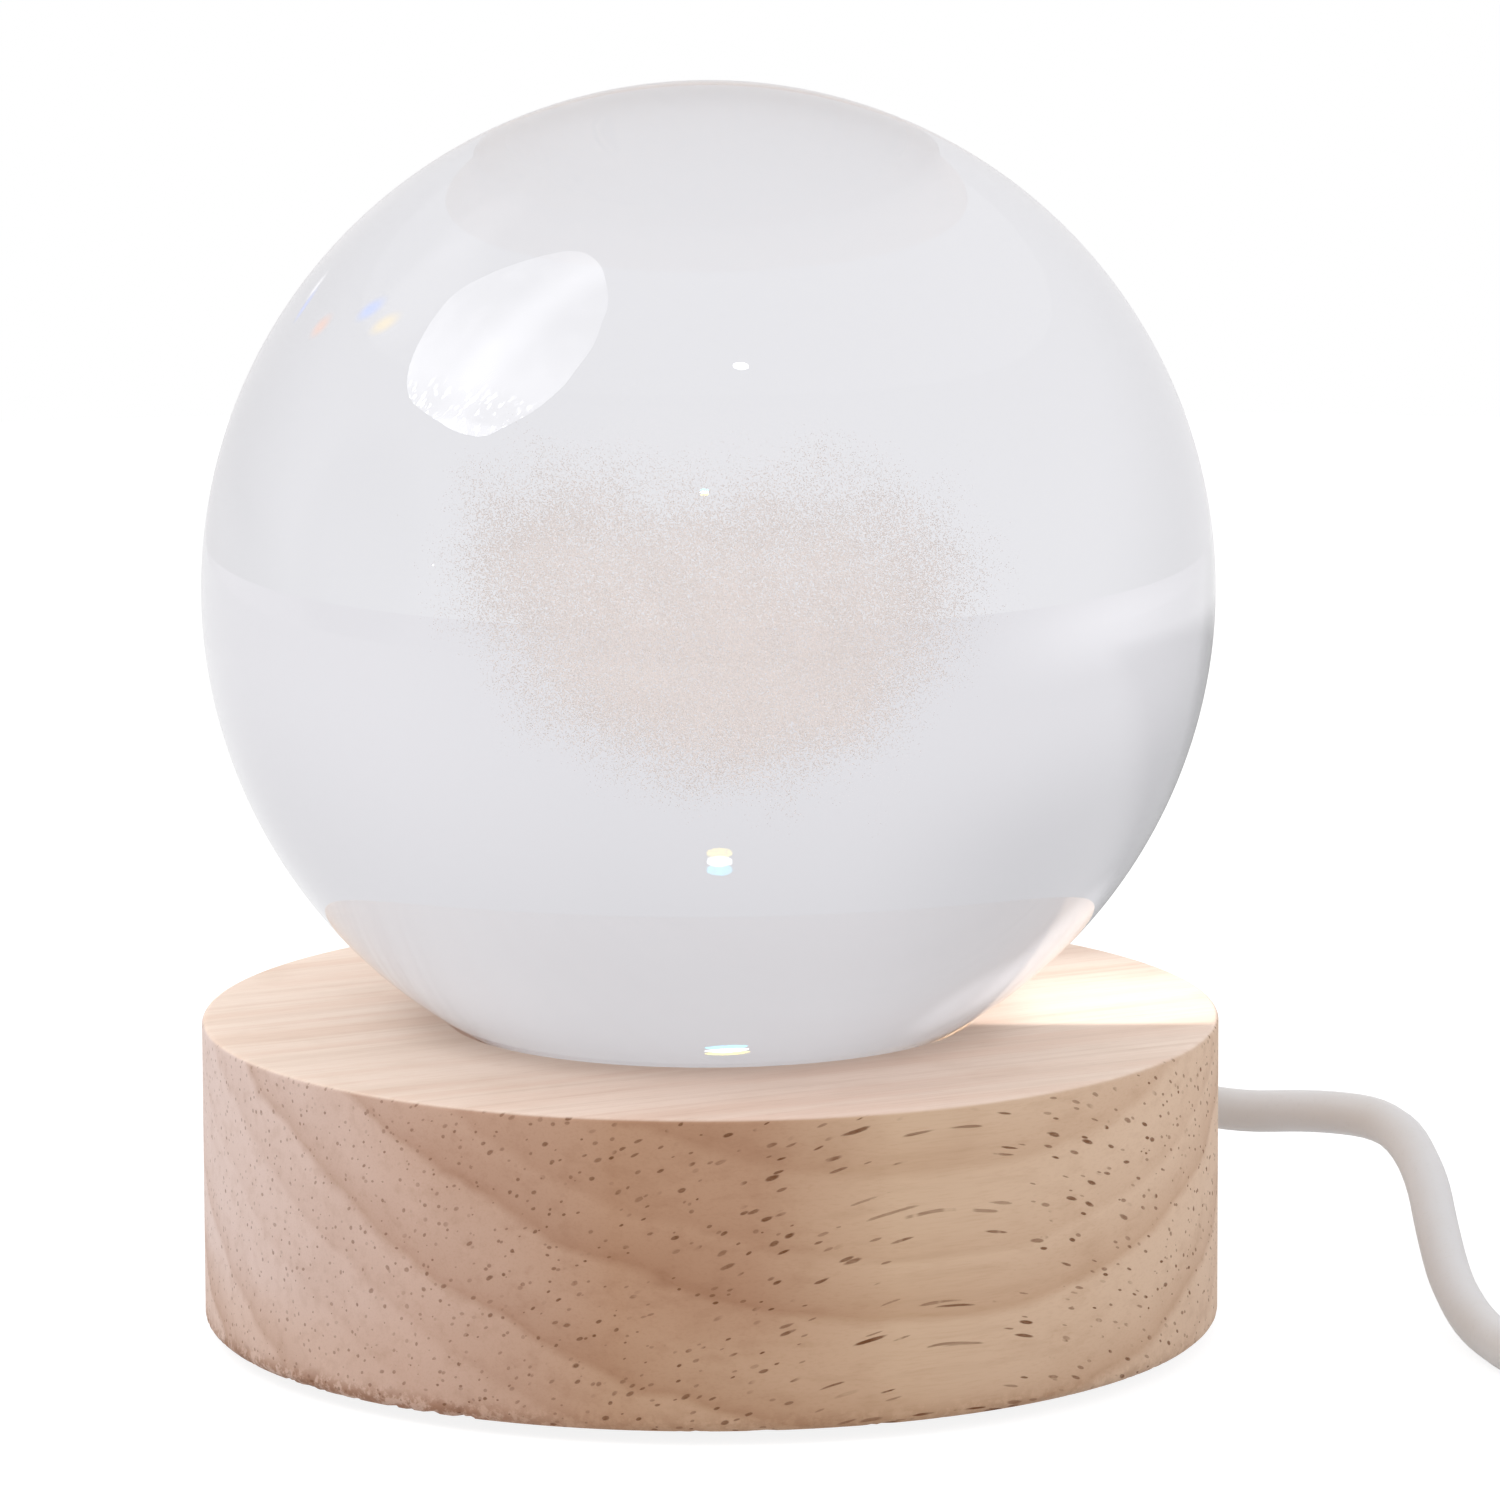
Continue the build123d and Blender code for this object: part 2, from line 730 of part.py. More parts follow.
plain_pieces = {
    "crystal_ball": crystal_ball,
    "wood_base": wood_base,
    "foot_pads": foot_pads,
    "light_window": light_window,
    "light_spacer": light_spacer,
    "led_board": led_board,
    "leds": leds,
    "resistors": resistors,
    "board_screws": board_screws,
    "bottom_cover": bottom_cover,
    "cover_screws": cover_screws,
    "cord_entry": cord_entry,
    "cable_tie": cable_tie,
    "switch_lower_shell": switch_lower_shell,
    "switch_upper_shell": switch_upper_shell,
    "switch_rocker": switch_rocker,
    "switch_pin": switch_pin,
    "switch_contacts": switch_contacts,
    "switch_wires": switch_wires,
    "switch_screws": switch_screws,
    "plug_grip": plug_grip,
    "plug_shell": plug_shell,
    "plug_insert": plug_insert,
    "plug_contacts": plug_contacts,
    "coil_tie": coil_tie,
}
for piece_name, make in plain_pieces.items():
    keep(piece_name, make())

keep("wire_red", inner_wire("wire_red", wire_spread))
keep("wire_black", inner_wire("wire_black", -wire_spread))

cord_length = switch_length - 2 * switch_cord_depth
for piece_name, route in (
    ("cord_lead", lead_route),
    ("cord_to_coil", to_coil_route),
    ("cord_to_plug", to_plug_route),
):
    tube, length = route_tube(piece_name, route, cord_radius)
    keep(piece_name, tube)
    cord_length += length
tube, length = cord_coil()
keep("cord_coil", tube)
cord_length += length
print(f"cord from the base to the plug: {cord_length:.0f} mm; exit at {exit_point(base_radius)}")
print(f"ball centre at {ball_height:.2f} mm, whole lamp {ball_height + ball_radius:.1f} mm high")
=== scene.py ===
"""Crystal ball lamp: a clear glass ball on a turned wooden base, with a thin switched cord."""
import math
import random

import bpy
from bpy.props import FloatProperty, FloatVectorProperty, IntProperty, PointerProperty
from mathutils import Matrix, Vector, noise


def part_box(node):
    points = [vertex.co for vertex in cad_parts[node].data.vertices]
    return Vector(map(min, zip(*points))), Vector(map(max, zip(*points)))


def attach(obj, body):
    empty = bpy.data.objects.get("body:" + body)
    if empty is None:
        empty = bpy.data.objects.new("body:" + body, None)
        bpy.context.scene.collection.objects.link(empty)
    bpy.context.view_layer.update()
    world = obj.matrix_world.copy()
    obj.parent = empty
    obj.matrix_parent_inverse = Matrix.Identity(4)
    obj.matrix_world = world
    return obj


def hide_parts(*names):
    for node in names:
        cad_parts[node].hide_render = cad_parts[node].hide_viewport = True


bl_info = {
    "name": "Crystal Ball Lamp",
    "version": (1, 0, 0),
    "blender": (4, 5, 0),
    "location": "View3D > Sidebar > Lamp",
    "description": "Builds a glass ball lamp around its packed solids",
    "category": "Add Mesh",
}

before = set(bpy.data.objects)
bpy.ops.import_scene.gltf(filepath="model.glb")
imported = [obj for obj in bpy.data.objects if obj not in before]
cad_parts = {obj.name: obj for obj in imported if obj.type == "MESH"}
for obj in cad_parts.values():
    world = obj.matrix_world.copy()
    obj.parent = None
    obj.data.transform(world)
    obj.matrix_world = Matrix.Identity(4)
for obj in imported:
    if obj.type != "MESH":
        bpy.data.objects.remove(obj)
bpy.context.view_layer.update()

MM = 0.001

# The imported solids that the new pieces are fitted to, in metres
BALL_LOW, BALL_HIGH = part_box("crystal_ball")
BALL_RADIUS = (BALL_HIGH.z - BALL_LOW.z) / 2
BALL_CENTRE = Vector((0, 0, (BALL_HIGH.z + BALL_LOW.z) / 2))
WOOD_LOW, WOOD_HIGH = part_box("wood_base")
WOOD_RADIUS = WOOD_HIGH.x

# The cord's route, in millimetres, from inside the base to the plug
EXIT_AZIMUTH = 43.0
EXIT_HEIGHT = 11.9967
SHEATH_END_RADIUS = 16.0
EXIT_RUN = 8.0
LEAD_ROUTE = [
    (42.9, 34.6, 9.6), (50.4, 33.2, 10.1), (56.2, 27.9, 10.3), (58.3, 19.7, 7.8),
    (58.6, 9.6, 5.0), (59.1, -1.5, 2.9), (60.8, -12.7, 1.75), (64.7, -23.7, 1.75),
    (69.6, -32.0, 1.75), (77.5, -37.4, 2.8), (85.6, -38.0, 5.0), (93.5, -38.0, 5.0),
]
TO_COIL_ROUTE = [
    (125.5, -38.0, 5.0), (133.4, -38.0, 5.0), (140.2, -34.6, 3.6),
    (144.0, -26.6, 2.7), (144.5, -16.5, 2.45), (144.5, -7.5, 2.45),
]
TO_PLUG_ROUTE = [
    (144.5, -0.5, 14.45), (144.5, 7.4, 14.45), (144.3, 15.5, 12.6), (142.6, 23.5, 9.3),
    (138.5, 30.5, 6.1), (132.0, 34.0, 3.8), (124.5, 34.0, 3.8), (123.3, 34.0, 3.8),
]
COIL_CENTRE = (120.5, -4.0)
COIL_MEAN_RADIUS = 20.0
COIL_TURNS = 8
COIL_PITCH = 4.0
COIL_FLOOR = 2.45
COIL_POINTS = 20
CORD_DIAMETER = 0.0035


# What a user would change

def length_property(name, description, default):
    return FloatProperty(name=name, description=description, default=default, unit="LENGTH")


def colour_property(name, description, default):
    """A plain colour, in linear values."""
    return FloatVectorProperty(
        name=name, description=description, default=default, subtype="COLOR", size=3, min=0, max=1
    )


class LampSizes(bpy.types.PropertyGroup):
    """Sizes of the lamp's own pieces."""

    ball_diameter: length_property("Ball diameter", "Across the glass ball", 2 * BALL_RADIUS)
    cord_diameter: length_property("Cord diameter", "Across the cord's sheath", CORD_DIAMETER)
    dot_count: IntProperty(
        name="Engraved dots", description="How many fine dots make the cloud in the ball", default=170000,
    )
    dot_diameter: length_property("Dot diameter", "Across one engraved dot", 0.0001)
    chip_depth: length_property("Chip depth", "How far the bottom edge is broken out", 0.00035)


class LampColours(bpy.types.PropertyGroup):
    """Colours of the lamp's finishes."""

    glass: colour_property("Glass", "Tint of the thick glass", (0.80, 0.80, 0.825))
    # The engraving colour is also the colour that the dots glow with, as painted light
    engraving: colour_property("Engraving", "The frosted dots", (0.50, 0.462, 0.443))
    wood_top: colour_property("Wood top", "Sanded top face", (0.88, 0.69, 0.58))
    # Painted light: the top is lighter at its sides, out of the ball's shadow, than in its middle
    wood_top_lit_sides: colour_property("Wood top, sides", "Top face at its sides", (0.94, 0.775, 0.65))
    wood_left: colour_property("Wood wall, left end", "Where the grain ends", (0.77, 0.62, 0.565))
    wood_shade: colour_property("Wood wall, left", "Wall beside the heart", (0.69, 0.483, 0.387))
    wood_front: colour_property("Wood wall, heart", "Wall at the heart", (0.565, 0.335, 0.21))
    wood_right: colour_property("Wood wall, right", "Wall along the grain", (0.745, 0.525, 0.355))
    wood_pale: colour_property("Wood wall, right end", "Wall past the grain", (0.765, 0.565, 0.415))
    wood_ring: colour_property("Growth ring", "Tint of the darker rings", (0.72, 0.60, 0.51))
    wood_pore: colour_property("Wood pores", "The open vessels", (0.19, 0.075, 0.028))
    sheath: colour_property("Cord sheath", "Soft white sheath", (0.72, 0.705, 0.70))
    white_plastic: colour_property("White plastic", "Switch and plug", (0.82, 0.82, 0.81))
    cover: colour_property("Bottom cover", "Grained cover under the base", (0.60, 0.575, 0.53))


class LampStudio(bpy.types.PropertyGroup):
    """The floor and the light."""

    floor_radius: length_property("Floor radius", "Half the width of the floor", 0.5)
    window_power: FloatProperty(
        name="Window power", description="Watts of the soft window light", default=4.4,
    )
    glint_power: FloatProperty(
        name="Glint power", description="Share of the small lamps' power that is used", default=1.0,
    )
    fill: FloatProperty(
        name="Fill", description="Strength of the light from all round", default=0.83,
    )


# Node trees

class Signal:
    """An output in a node tree. Arithmetic on it adds Math nodes, and node() adds any other."""

    def __init__(self, tree, socket=None):
        self.tree = tree
        self.socket = socket

    def node(self, kind, settings=None, sockets=None, output=0):
        """Adds a node: its settings first, then the values or links of its sockets."""
        made = self.tree.nodes.new("ShaderNode" + kind)
        made.location = (220 * (len(self.tree.nodes) % 8), -260 * (len(self.tree.nodes) // 8))
        for name, value in (settings or {}).items():
            if name == "stops":
                fill_ramp(made.color_ramp, value)
            else:
                setattr(made, name, value)
        for name, value in (sockets or {}).items():
            if isinstance(value, Signal):
                self.tree.links.new(value.socket, made.inputs[name])
            else:
                made.inputs[name].default_value = value
        return Signal(self.tree, made.outputs[output] if made.outputs else None)

    def math(self, operation, first, second=0.0):
        return self.node("Math", {"operation": operation}, {0: first, 1: second})

    def __add__(self, other):
        return self.math("ADD", self, other)

    def __sub__(self, other):
        return self.math("SUBTRACT", self, other)

    def __mul__(self, other):
        return self.math("MULTIPLY", self, other)

    def __truediv__(self, other):
        return self.math("DIVIDE", self, other)

    def __rsub__(self, other):
        return self.math("SUBTRACT", other, self)

    def __rtruediv__(self, other):
        return self.math("DIVIDE", other, self)

    def __pow__(self, other):
        return self.math("POWER", self, other)

    __radd__ = __add__
    __rmul__ = __mul__

    def clamped(self):
        return self.node("Clamp", None, {0: self})

    def smooth(self, low, high):
        """Rises softly from 0 at low to 1 at high."""
        ends = {"Value": self, "From Min": low, "From Max": high}
        return self.node("MapRange", {"interpolation_type": "SMOOTHSTEP"}, ends)

    def bump_at(self, middle, width):
        """A soft hump around a value."""
        return self.smooth(middle - width, middle) - self.smooth(middle, middle + width)

    def part(self, axis):
        """One component of a vector."""
        return self.node("SeparateXYZ", None, {0: self}, "XYZ".index(axis))

    def from_axis(self):
        """Distance from the Z axis."""
        x, y = self.part("X"), self.part("Y")
        return (x * x + y * y) ** 0.5

    def ramp(self, stops):
        """The colour or grey of a ramp at this value."""
        return self.node("ValToRGB", {"stops": stops}, {0: self})

    def coloured(self, green=1.0, blue=1.0):
        """A colour with this much red, and green and blue as shares of it."""
        return self.node("CombineColor", None, {0: self, 1: self * green, 2: self * blue})

    def mixed(self, first, second):
        """A colour between two, with this signal as the share of the second."""
        return self.node("Mix", {"data_type": "RGBA"}, {0: self, 6: solid(first), 7: solid(second)}, 2)

    def tinted(self, base, tint):
        """A colour multiplied by a tint, as far as this signal says."""
        settings = {"data_type": "RGBA", "blend_type": "MULTIPLY"}
        return self.node("Mix", settings, {0: self, 6: solid(base), 7: solid(tint)}, 2)

    def placed(self, scale, turn=(0, 0, 0), shift=(0, 0, 0)):
        """This position scaled, then turned, then shifted."""
        return self.node("Mapping", None, {0: self, 1: shift, 2: turn, 3: scale})

    def cloud(self, scale, detail=3.0, rough=0.5):
        """Soft noise from 0 to 1 at this position."""
        values = {"Vector": self, "Scale": scale, "Detail": detail, "Roughness": rough}
        return self.node("TexNoise", None, values)

    def cells(self, scale, random_share=1.0, output=0, flat=False):
        """Distance to the nearest of many scattered points, or that point's own colour."""
        values = {"Vector": self, "Scale": scale, "Randomness": random_share}
        return self.node("TexVoronoi", {"voronoi_dimensions": "2D" if flat else "3D"}, values, output)

    def relief(self, strength, distance):
        """This signal as a surface relief."""
        return self.node("Bump", None, {"Strength": strength, "Distance": distance, "Height": self})


def solid(value):
    """A colour for a socket: three numbers get their alpha, a signal goes through."""
    return value if isinstance(value, Signal) else (*tuple(value)[:3], 1.0)


def fill_ramp(ramp, stops):
    """Sets a ramp's stops from (place, grey or colour)."""
    while len(ramp.elements) > 1:
        ramp.elements.remove(ramp.elements[-1])
    for index, (place, value) in enumerate(stops):
        stop = ramp.elements[0] if index == 0 else ramp.elements.new(place)
        stop.position = place
        stop.color = (value, value, value, 1.0) if isinstance(value, (int, float)) else (*value, 1.0)


def new_material(name, unit=1 / MM):
    """An empty material and its object position, in millimetres if no other unit is given."""
    material = bpy.data.materials.new(name)
    material.use_nodes = True
    material.node_tree.nodes.clear()
    place = Signal(material.node_tree).node("TexCoord", None, None, "Object")
    return material, place.placed((unit, unit, unit))


def surface(material, sockets):
    """Ends a material in one Principled shader."""
    shader = Signal(material.node_tree).node("BsdfPrincipled", None, sockets)
    shader.node("OutputMaterial", None, {"Surface": shader})
    return material


# Modelling

def clear_selection():
    for thing in list(bpy.context.selected_objects):
        thing.select_set(False)


def pick(thing):
    """Selects one object and nothing else."""
    clear_selection()
    bpy.context.view_layer.objects.active = thing
    thing.select_set(True)


def named(name):
    """Names the object that was just added."""
    thing = bpy.context.object
    thing.name = name
    thing.data.name = name
    return thing


def everything():
    bpy.ops.mesh.select_all(action="SELECT")


def edit(thing):
    """Goes into edit mode on one object, with all of it selected."""
    pick(thing)
    bpy.ops.object.mode_set(mode="EDIT")
    everything()


def leave():
    bpy.ops.object.mode_set(mode="OBJECT")


def settle(thing):
    """Puts the object's place into its mesh."""
    pick(thing)
    bpy.ops.object.transform_apply(location=True, rotation=True, scale=True)


def smooth_by_angle(thing, degrees):
    pick(thing)
    bpy.ops.object.shade_smooth_by_angle(angle=math.radians(degrees))


def lathe(name, profile, steps):
    """A turned piece about the Z axis: a circle extruded ring by ring along a closed profile."""
    clear_selection()
    radius, height = profile[0]
    bpy.ops.mesh.primitive_circle_add(vertices=steps, radius=radius, location=(0, 0, height))
    thing = named(name)
    edit(thing)
    for new_radius, new_height in profile[1:] + profile[:1]:
        bpy.ops.mesh.extrude_edges_move(TRANSFORM_OT_translate={"value": (0, 0, new_height - height)})
        factor = new_radius / radius
        bpy.ops.transform.resize(value=(factor, factor, 1), center_override=(0, 0, new_height))
        radius, height = new_radius, new_height
    everything()
    bpy.ops.mesh.remove_doubles(threshold=0.000002)
    bpy.ops.mesh.normals_make_consistent(inside=False)
    leave()
    settle(thing)
    return thing


def apply_modifier(thing, kind, **settings):
    """Adds one modifier and applies it."""
    pick(thing)
    modifier = thing.modifiers.new(kind.lower(), kind)
    for name, value in settings.items():
        setattr(modifier, name, value)
    bpy.ops.object.modifier_apply(modifier=modifier.name)


def join(pieces):
    """Makes one object of several."""
    clear_selection()
    for piece in pieces:
        piece.select_set(True)
    bpy.context.view_layer.objects.active = pieces[0]
    bpy.ops.object.join()
    return pieces[0]


def give(thing, material):
    """Sets the one material of a piece, or of a CAD node's slots."""
    if thing.material_slots:
        for slot in thing.material_slots:
            slot.material = material
    else:
        thing.data.materials.append(material)


def install(thing, body, slot, material, *nodes):
    """A finished piece: its finish, its body and the solids that it stands for."""
    give(thing, material)
    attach(thing, body)
    if nodes:
        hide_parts(*nodes)


# Finishes

def glass_finish(colours):
    """Clear thick glass, faintly grey."""
    material, _ = new_material("clear_glass")
    return surface(material, {
        "Base Color": solid(colours.glass),
        "Roughness": 0.0,
        "IOR": 1.517,
        "Transmission Weight": 1.0,
    })


def engraving_finish(colours):
    """Frosted dots burnt into the glass, glowing faintly with painted light."""
    material, place = new_material("engraved_frost_glow")
    pale = [value * 1.05 for value in colours.engraving]
    colour = place.cloud(0.35, 2.0).smooth(0.35, 0.65).mixed(colours.engraving, pale)
    return surface(material, {
        "Base Color": colour,
        "Roughness": 0.9,
        # Painted light: the dots glow in their own colour, so that their shading stays flat
        "Emission Color": colour,
        "Emission Strength": 0.80,
    })


# How the plank lies in the base, and its growth rings: place along their axis (mm) and strength
GRAIN_AZIMUTH = math.radians(27.0)
RING_SPAN = 32.0
INNER_START, INNER_RINGS = -22.0, [(-19.5, 0.7), (-13.0, 1.0), (-7.5, 0.7), (-1.0, 0.9), (5.0, 0.6)]
OUTER_START, OUTER_RINGS = 10.0, [
    (12.5, 0.25), (17.3, 0.35), (21.5, 0.75), (28.9, 0.75), (33.0, 0.35), (38.6, 0.5),
]
# Open vessels: spacing (mm), shift, least and greatest half width, breaks along the fibre, closed share
PORE_SETS = [
    (1.05, (0.3, 0.7, 0), 0.06, 0.18, 0.22, 0.46),
    (1.6, (5.2, 1.9, 0), 0.06, 0.14, 0.12, 0.46),
]
# Heights (mm) between which the wall's finish gives way to the top's
TOP_EDGE = (25.15, 25.36)


def growth_rings(ring_place, low, rings):
    """Growth rings over the span above low: each rises sharply and fades slowly outwards."""
    stops = [(0.0, 0.1)]
    for place, strength in rings:
        start = (place - low) / RING_SPAN
        stops += [(start - 0.022, 0.06), (start, strength), (start + 0.022, strength * 0.7)]
        stops += [(start + 0.10, strength * 0.15)]
    return ((ring_place - low) / RING_SPAN).ramp(stops)


def wood_finish(colours):
    """Bare fine-sanded light hardwood with open pores and slanting growth rings."""
    material, place = new_material("bare_light_wood")
    x = place.part("X")

    # Along the plank's fibres, across them towards the front right, and up
    grain = place.placed((1, 1, 1), (0, 0, -GRAIN_AZIMUTH))
    along, across, up = grain.part("X"), grain.part("Y") * -1.0, grain.part("Z")

    # Fibres rise gently towards the middle of the plank and sink again
    arch = (along * along + 64.0) ** 0.5 * 0.4
    wander = grain.placed((0.05, 0.22, 0.22)).cloud(1.0, 2.0) - 0.5
    drift = grain.placed((0.07, 0.15, 0.15), shift=(31, 7, 3)).cloud(1.0, 2.0) - 0.5

    # Growth rings: slanting layers across the plank
    ring_place = across * 0.524 + up * 0.852 + wander * 2.2
    outer = growth_rings(ring_place, OUTER_START, OUTER_RINGS)
    inner = growth_rings(ring_place, INNER_START, INNER_RINGS)
    which = ring_place.smooth(OUTER_START - 0.1, OUTER_START + 0.1)
    ring = inner * (1.0 - which) + outer * which

    # Fine fibres, long and thin
    fibre = grain.placed((0.35, 6.0, 6.0)).cloud(1.0, 4.0, 0.6)
    streak = grain.placed((0.02, 0.9, 0.9), shift=(5, 2, 9)).cloud(1.0, 4.0, 0.55)
    band = grain.placed((0.012, 0.25, 0.25), shift=(3, 8, 1)).cloud(1.0, 3.0, 0.6).smooth(0.44, 0.62)
    mottle = place.cloud(0.16, 3.0)

    # Open pores: thin broken tubes along the fibres, which the turned wall cuts as dots and dashes
    lifted = up + arch + drift * 1.4
    section = place.node("CombineXYZ", None, {0: across + wander * 1.8, 1: lifted, 2: 0.0})
    pores = 0.0
    for spacing, shift, thin, thick, stretch, closed in PORE_SETS:
        tubes = section.placed((1 / spacing, 1 / spacing, 1), shift=shift)
        kind = tubes.cells(1.0, output=1, flat=True)
        size, tone = kind.part("X"), kind.part("Y")
        edge = tubes.cells(1.0, flat=True) + (fibre - 0.5) * 0.10
        tube = 1.0 - (edge / (size * (thick - thin) + thin)).smooth(0.6, 1.0)
        run = place.node("CombineXYZ", None, {0: along * stretch, 1: size * 40.0, 2: tone * 40.0})
        open_run = run.cloud(1.0, 3.0, 0.6).smooth(closed - 0.04, closed + 0.04)
        vessel = tube * open_run * (tone * 0.6 + 0.45)
        pores = vessel.math("MAXIMUM", vessel, pores)

    # The wall is paler low at its heart, browner high beside it and low at the left end
    wall = (x / 80.0 + 0.5).ramp([
        (0.0, colours.wood_left), (0.22, colours.wood_shade), (0.41, colours.wood_front),
        (0.54, colours.wood_front), (0.68, colours.wood_right), (1.0, colours.wood_pale),
    ])
    wall = (x.bump_at(2.0, 18.0) * (1.0 - up.smooth(4.0, 12.0)) * 0.5).mixed(wall, colours.wood_right)
    wall = (x.bump_at(-18.0, 13.0) * up.smooth(15.0, 22.0)).tinted(wall, (0.92, 0.87, 0.82))
    low_left = (1.0 - x.smooth(-36.0, -14.0)) * (1.0 - up.smooth(4.0, 10.0))
    wall = low_left.tinted(wall, (0.94, 0.89, 0.83))

    # The top face is sanded finer and shows streaks instead of pores
    on_top = up.smooth(*TOP_EDGE)
    # Painted light and shade: the top is lighter at its left and right, out of the ball's shadow, and
    # darker in the middle
    sides = 1.0 - x.smooth(-40.0, 5.0) + x.smooth(10.0, 32.0) * 0.8
    top = sides.mixed(colours.wood_top, colours.wood_top_lit_sides)
    # Painted shadow: the top is darkened in a ring round the seat, under the ball
    top = (1.0 - place.from_axis().smooth(21.5, 27.5)).tinted(top, (0.80, 0.77, 0.75))
    body = on_top.mixed(wall, top)
    body = (ring * (0.9 - on_top * 0.66)).tinted(body, colours.wood_ring)
    body = (band * on_top * 0.55).tinted(body, (0.91, 0.82, 0.77))
    body = ((streak - 0.5) * 2.2).clamped().tinted(body, (0.84, 0.78, 0.73))
    body = (fibre.smooth(0.45, 0.75) * 0.22).tinted(body, (0.75, 0.62, 0.52))
    body = (mottle.smooth(0.5, 0.75) * 0.35).tinted(body, (0.88, 0.84, 0.80))

    # Broken-out bottom edge, browner where the end grain tore
    low_edge = 1.0 - up.smooth(1.3, 3.1)
    torn = 1.0 - x.smooth(-22.0, -8.0) * 0.7
    broken = place.cloud(1.0, 5.0, 0.7).smooth(0.40, 0.56) * low_edge * torn
    body = (broken * 0.9).tinted(body, (0.54, 0.38, 0.27))
    pores = pores * (1.0 - on_top * 0.95) * (fibre * 0.9 + 0.5) * (x.smooth(-34.0, 2.0) * 0.4 + 0.6)
    body = (pores * 0.95).mixed(body, colours.wood_pore)

    height = fibre * 0.25 - pores + ring * 0.06
    return surface(material, {
        "Base Color": body,
        "Roughness": 0.62 + pores * 0.25 - ring * 0.06,
        "Specular IOR Level": 0.35,
        "Normal": height.relief(0.35, 0.12 * MM),
    })


def moulded_finish(name, colour, rough=0.35, grain=0.15, speck=0.04):
    """Moulded plastic: a fine skin texture, slow flow marks and a little dust."""
    material, place = new_material(name)
    flow = place.cloud(0.12, 3.0)
    skin = place.cloud(9.0, 2.0, 0.6)
    spots = 1.0 - place.cells(1.6).smooth(0.02, 0.07)
    body = (flow.smooth(0.35, 0.7) * 0.5).tinted(colour, (0.955, 0.95, 0.94))
    body = (spots * speck * 6.0).tinted(body, (0.72, 0.70, 0.66))
    return surface(material, {
        "Base Color": body,
        "Roughness": rough + (skin - 0.5) * 0.16 + (flow - 0.5) * 0.1,
        "Normal": skin.relief(grain, 0.02 * MM),
    })


def sheath_finish(colours):
    """Soft extruded sheath: smooth, faintly warm, with slow handling marks."""
    material, place = new_material("soft_sheath")
    skin = place.cloud(2.4, 3.0)
    fine = place.cloud(14.0, 2.0)
    body = place.cloud(0.09, 3.0).smooth(0.35, 0.68).tinted(colours.sheath, (0.955, 0.94, 0.915))
    body = (skin.smooth(0.58, 0.72) * 0.5).tinted(body, (0.95, 0.945, 0.935))
    return surface(material, {
        "Base Color": body,
        "Roughness": 0.46 + (skin - 0.5) * 0.14,
        "Normal": (skin * 0.5 + fine * 0.3).relief(0.12, 0.03 * MM),
    })


def metal_finish(name, colour, rough=0.28, brush=(0.3, 5.0, 5.0)):
    """Plated metal with fine drawn lines and uneven brightness."""
    material, place = new_material(name)
    lines = place.placed(brush).cloud(1.0, 3.0, 0.6)
    patches = place.cloud(0.7, 3.0)
    body = (patches.smooth(0.4, 0.7) * 0.3).tinted(colour, (0.8, 0.78, 0.74))
    body = (lines.smooth(0.5, 0.8) * 0.4).tinted(body, (0.86, 0.86, 0.86))
    return surface(material, {
        "Base Color": body,
        "Metallic": 1.0,
        "Roughness": rough + (lines - 0.5) * 0.2 + patches.smooth(0.45, 0.75) * 0.12,
        "Normal": lines.relief(0.15, 0.01 * MM),
    })


def rubber_finish():
    """Milky silicone pads, dusty where they touch the table."""
    material, place = new_material("milky_silicone")
    dust = place.cloud(1.8, 4.0, 0.6)
    low = 1.0 - place.part("Z").smooth(0.0, 0.5)
    body = (dust.smooth(0.4, 0.7) * (low * 0.6 + 0.25)).tinted((0.72, 0.72, 0.70), (0.70, 0.67, 0.62))
    return surface(material, {
        "Base Color": body,
        "Roughness": 0.42 + dust * 0.2,
        "Normal": dust.relief(0.2, 0.04 * MM),
    })


def frosted_finish():
    """Frosted acrylic: an even white disc with a sanded face."""
    material, place = new_material("frosted_acrylic")
    sand = place.cloud(7.0, 4.0, 0.7)
    return surface(material, {
        "Base Color": sand.smooth(0.35, 0.7).mixed((0.84, 0.845, 0.85), (0.90, 0.90, 0.90)),
        "Roughness": 0.55 + sand * 0.2,
        "Normal": sand.relief(0.25, 0.02 * MM),
    })


def board_finish():
    """White solder mask with copper runs pressed up from beneath."""
    material, place = new_material("white_mask_board")
    radius = place.from_axis()
    ring = radius.bump_at(8.5, 1.2) + radius.bump_at(21.0, 0.6)
    weave = place.placed((1.6, 1.6, 0.2)).cells(1.0, 0.2).smooth(0.2, 0.6)
    body = (ring * 0.5).tinted((0.76, 0.79, 0.76), (0.82, 0.88, 0.80))
    body = (weave * 0.15).tinted(body, (0.85, 0.87, 0.83))
    return surface(material, {
        "Base Color": body,
        "Roughness": 0.3 + weave * 0.12,
        "Normal": (ring + weave * 0.1).relief(0.4, 0.05 * MM),
    })


def lens_finish():
    """Light chip: a yellow phosphor pool in a white frame."""
    material, place = new_material("phosphor_lens")
    height = place.part("Z")
    grit = place.cloud(12.0, 3.0)
    frame_white = grit.mixed((0.86, 0.86, 0.82), (0.80, 0.80, 0.76))
    return surface(material, {
        "Base Color": (1.0 - height.smooth(16.12, 16.3)).mixed(frame_white, (0.86, 0.70, 0.16)),
        "Roughness": 0.22 + grit * 0.15 + (1.0 - height.smooth(16.1, 16.18)) * 0.05,
        "Coat Weight": 0.4,
    })


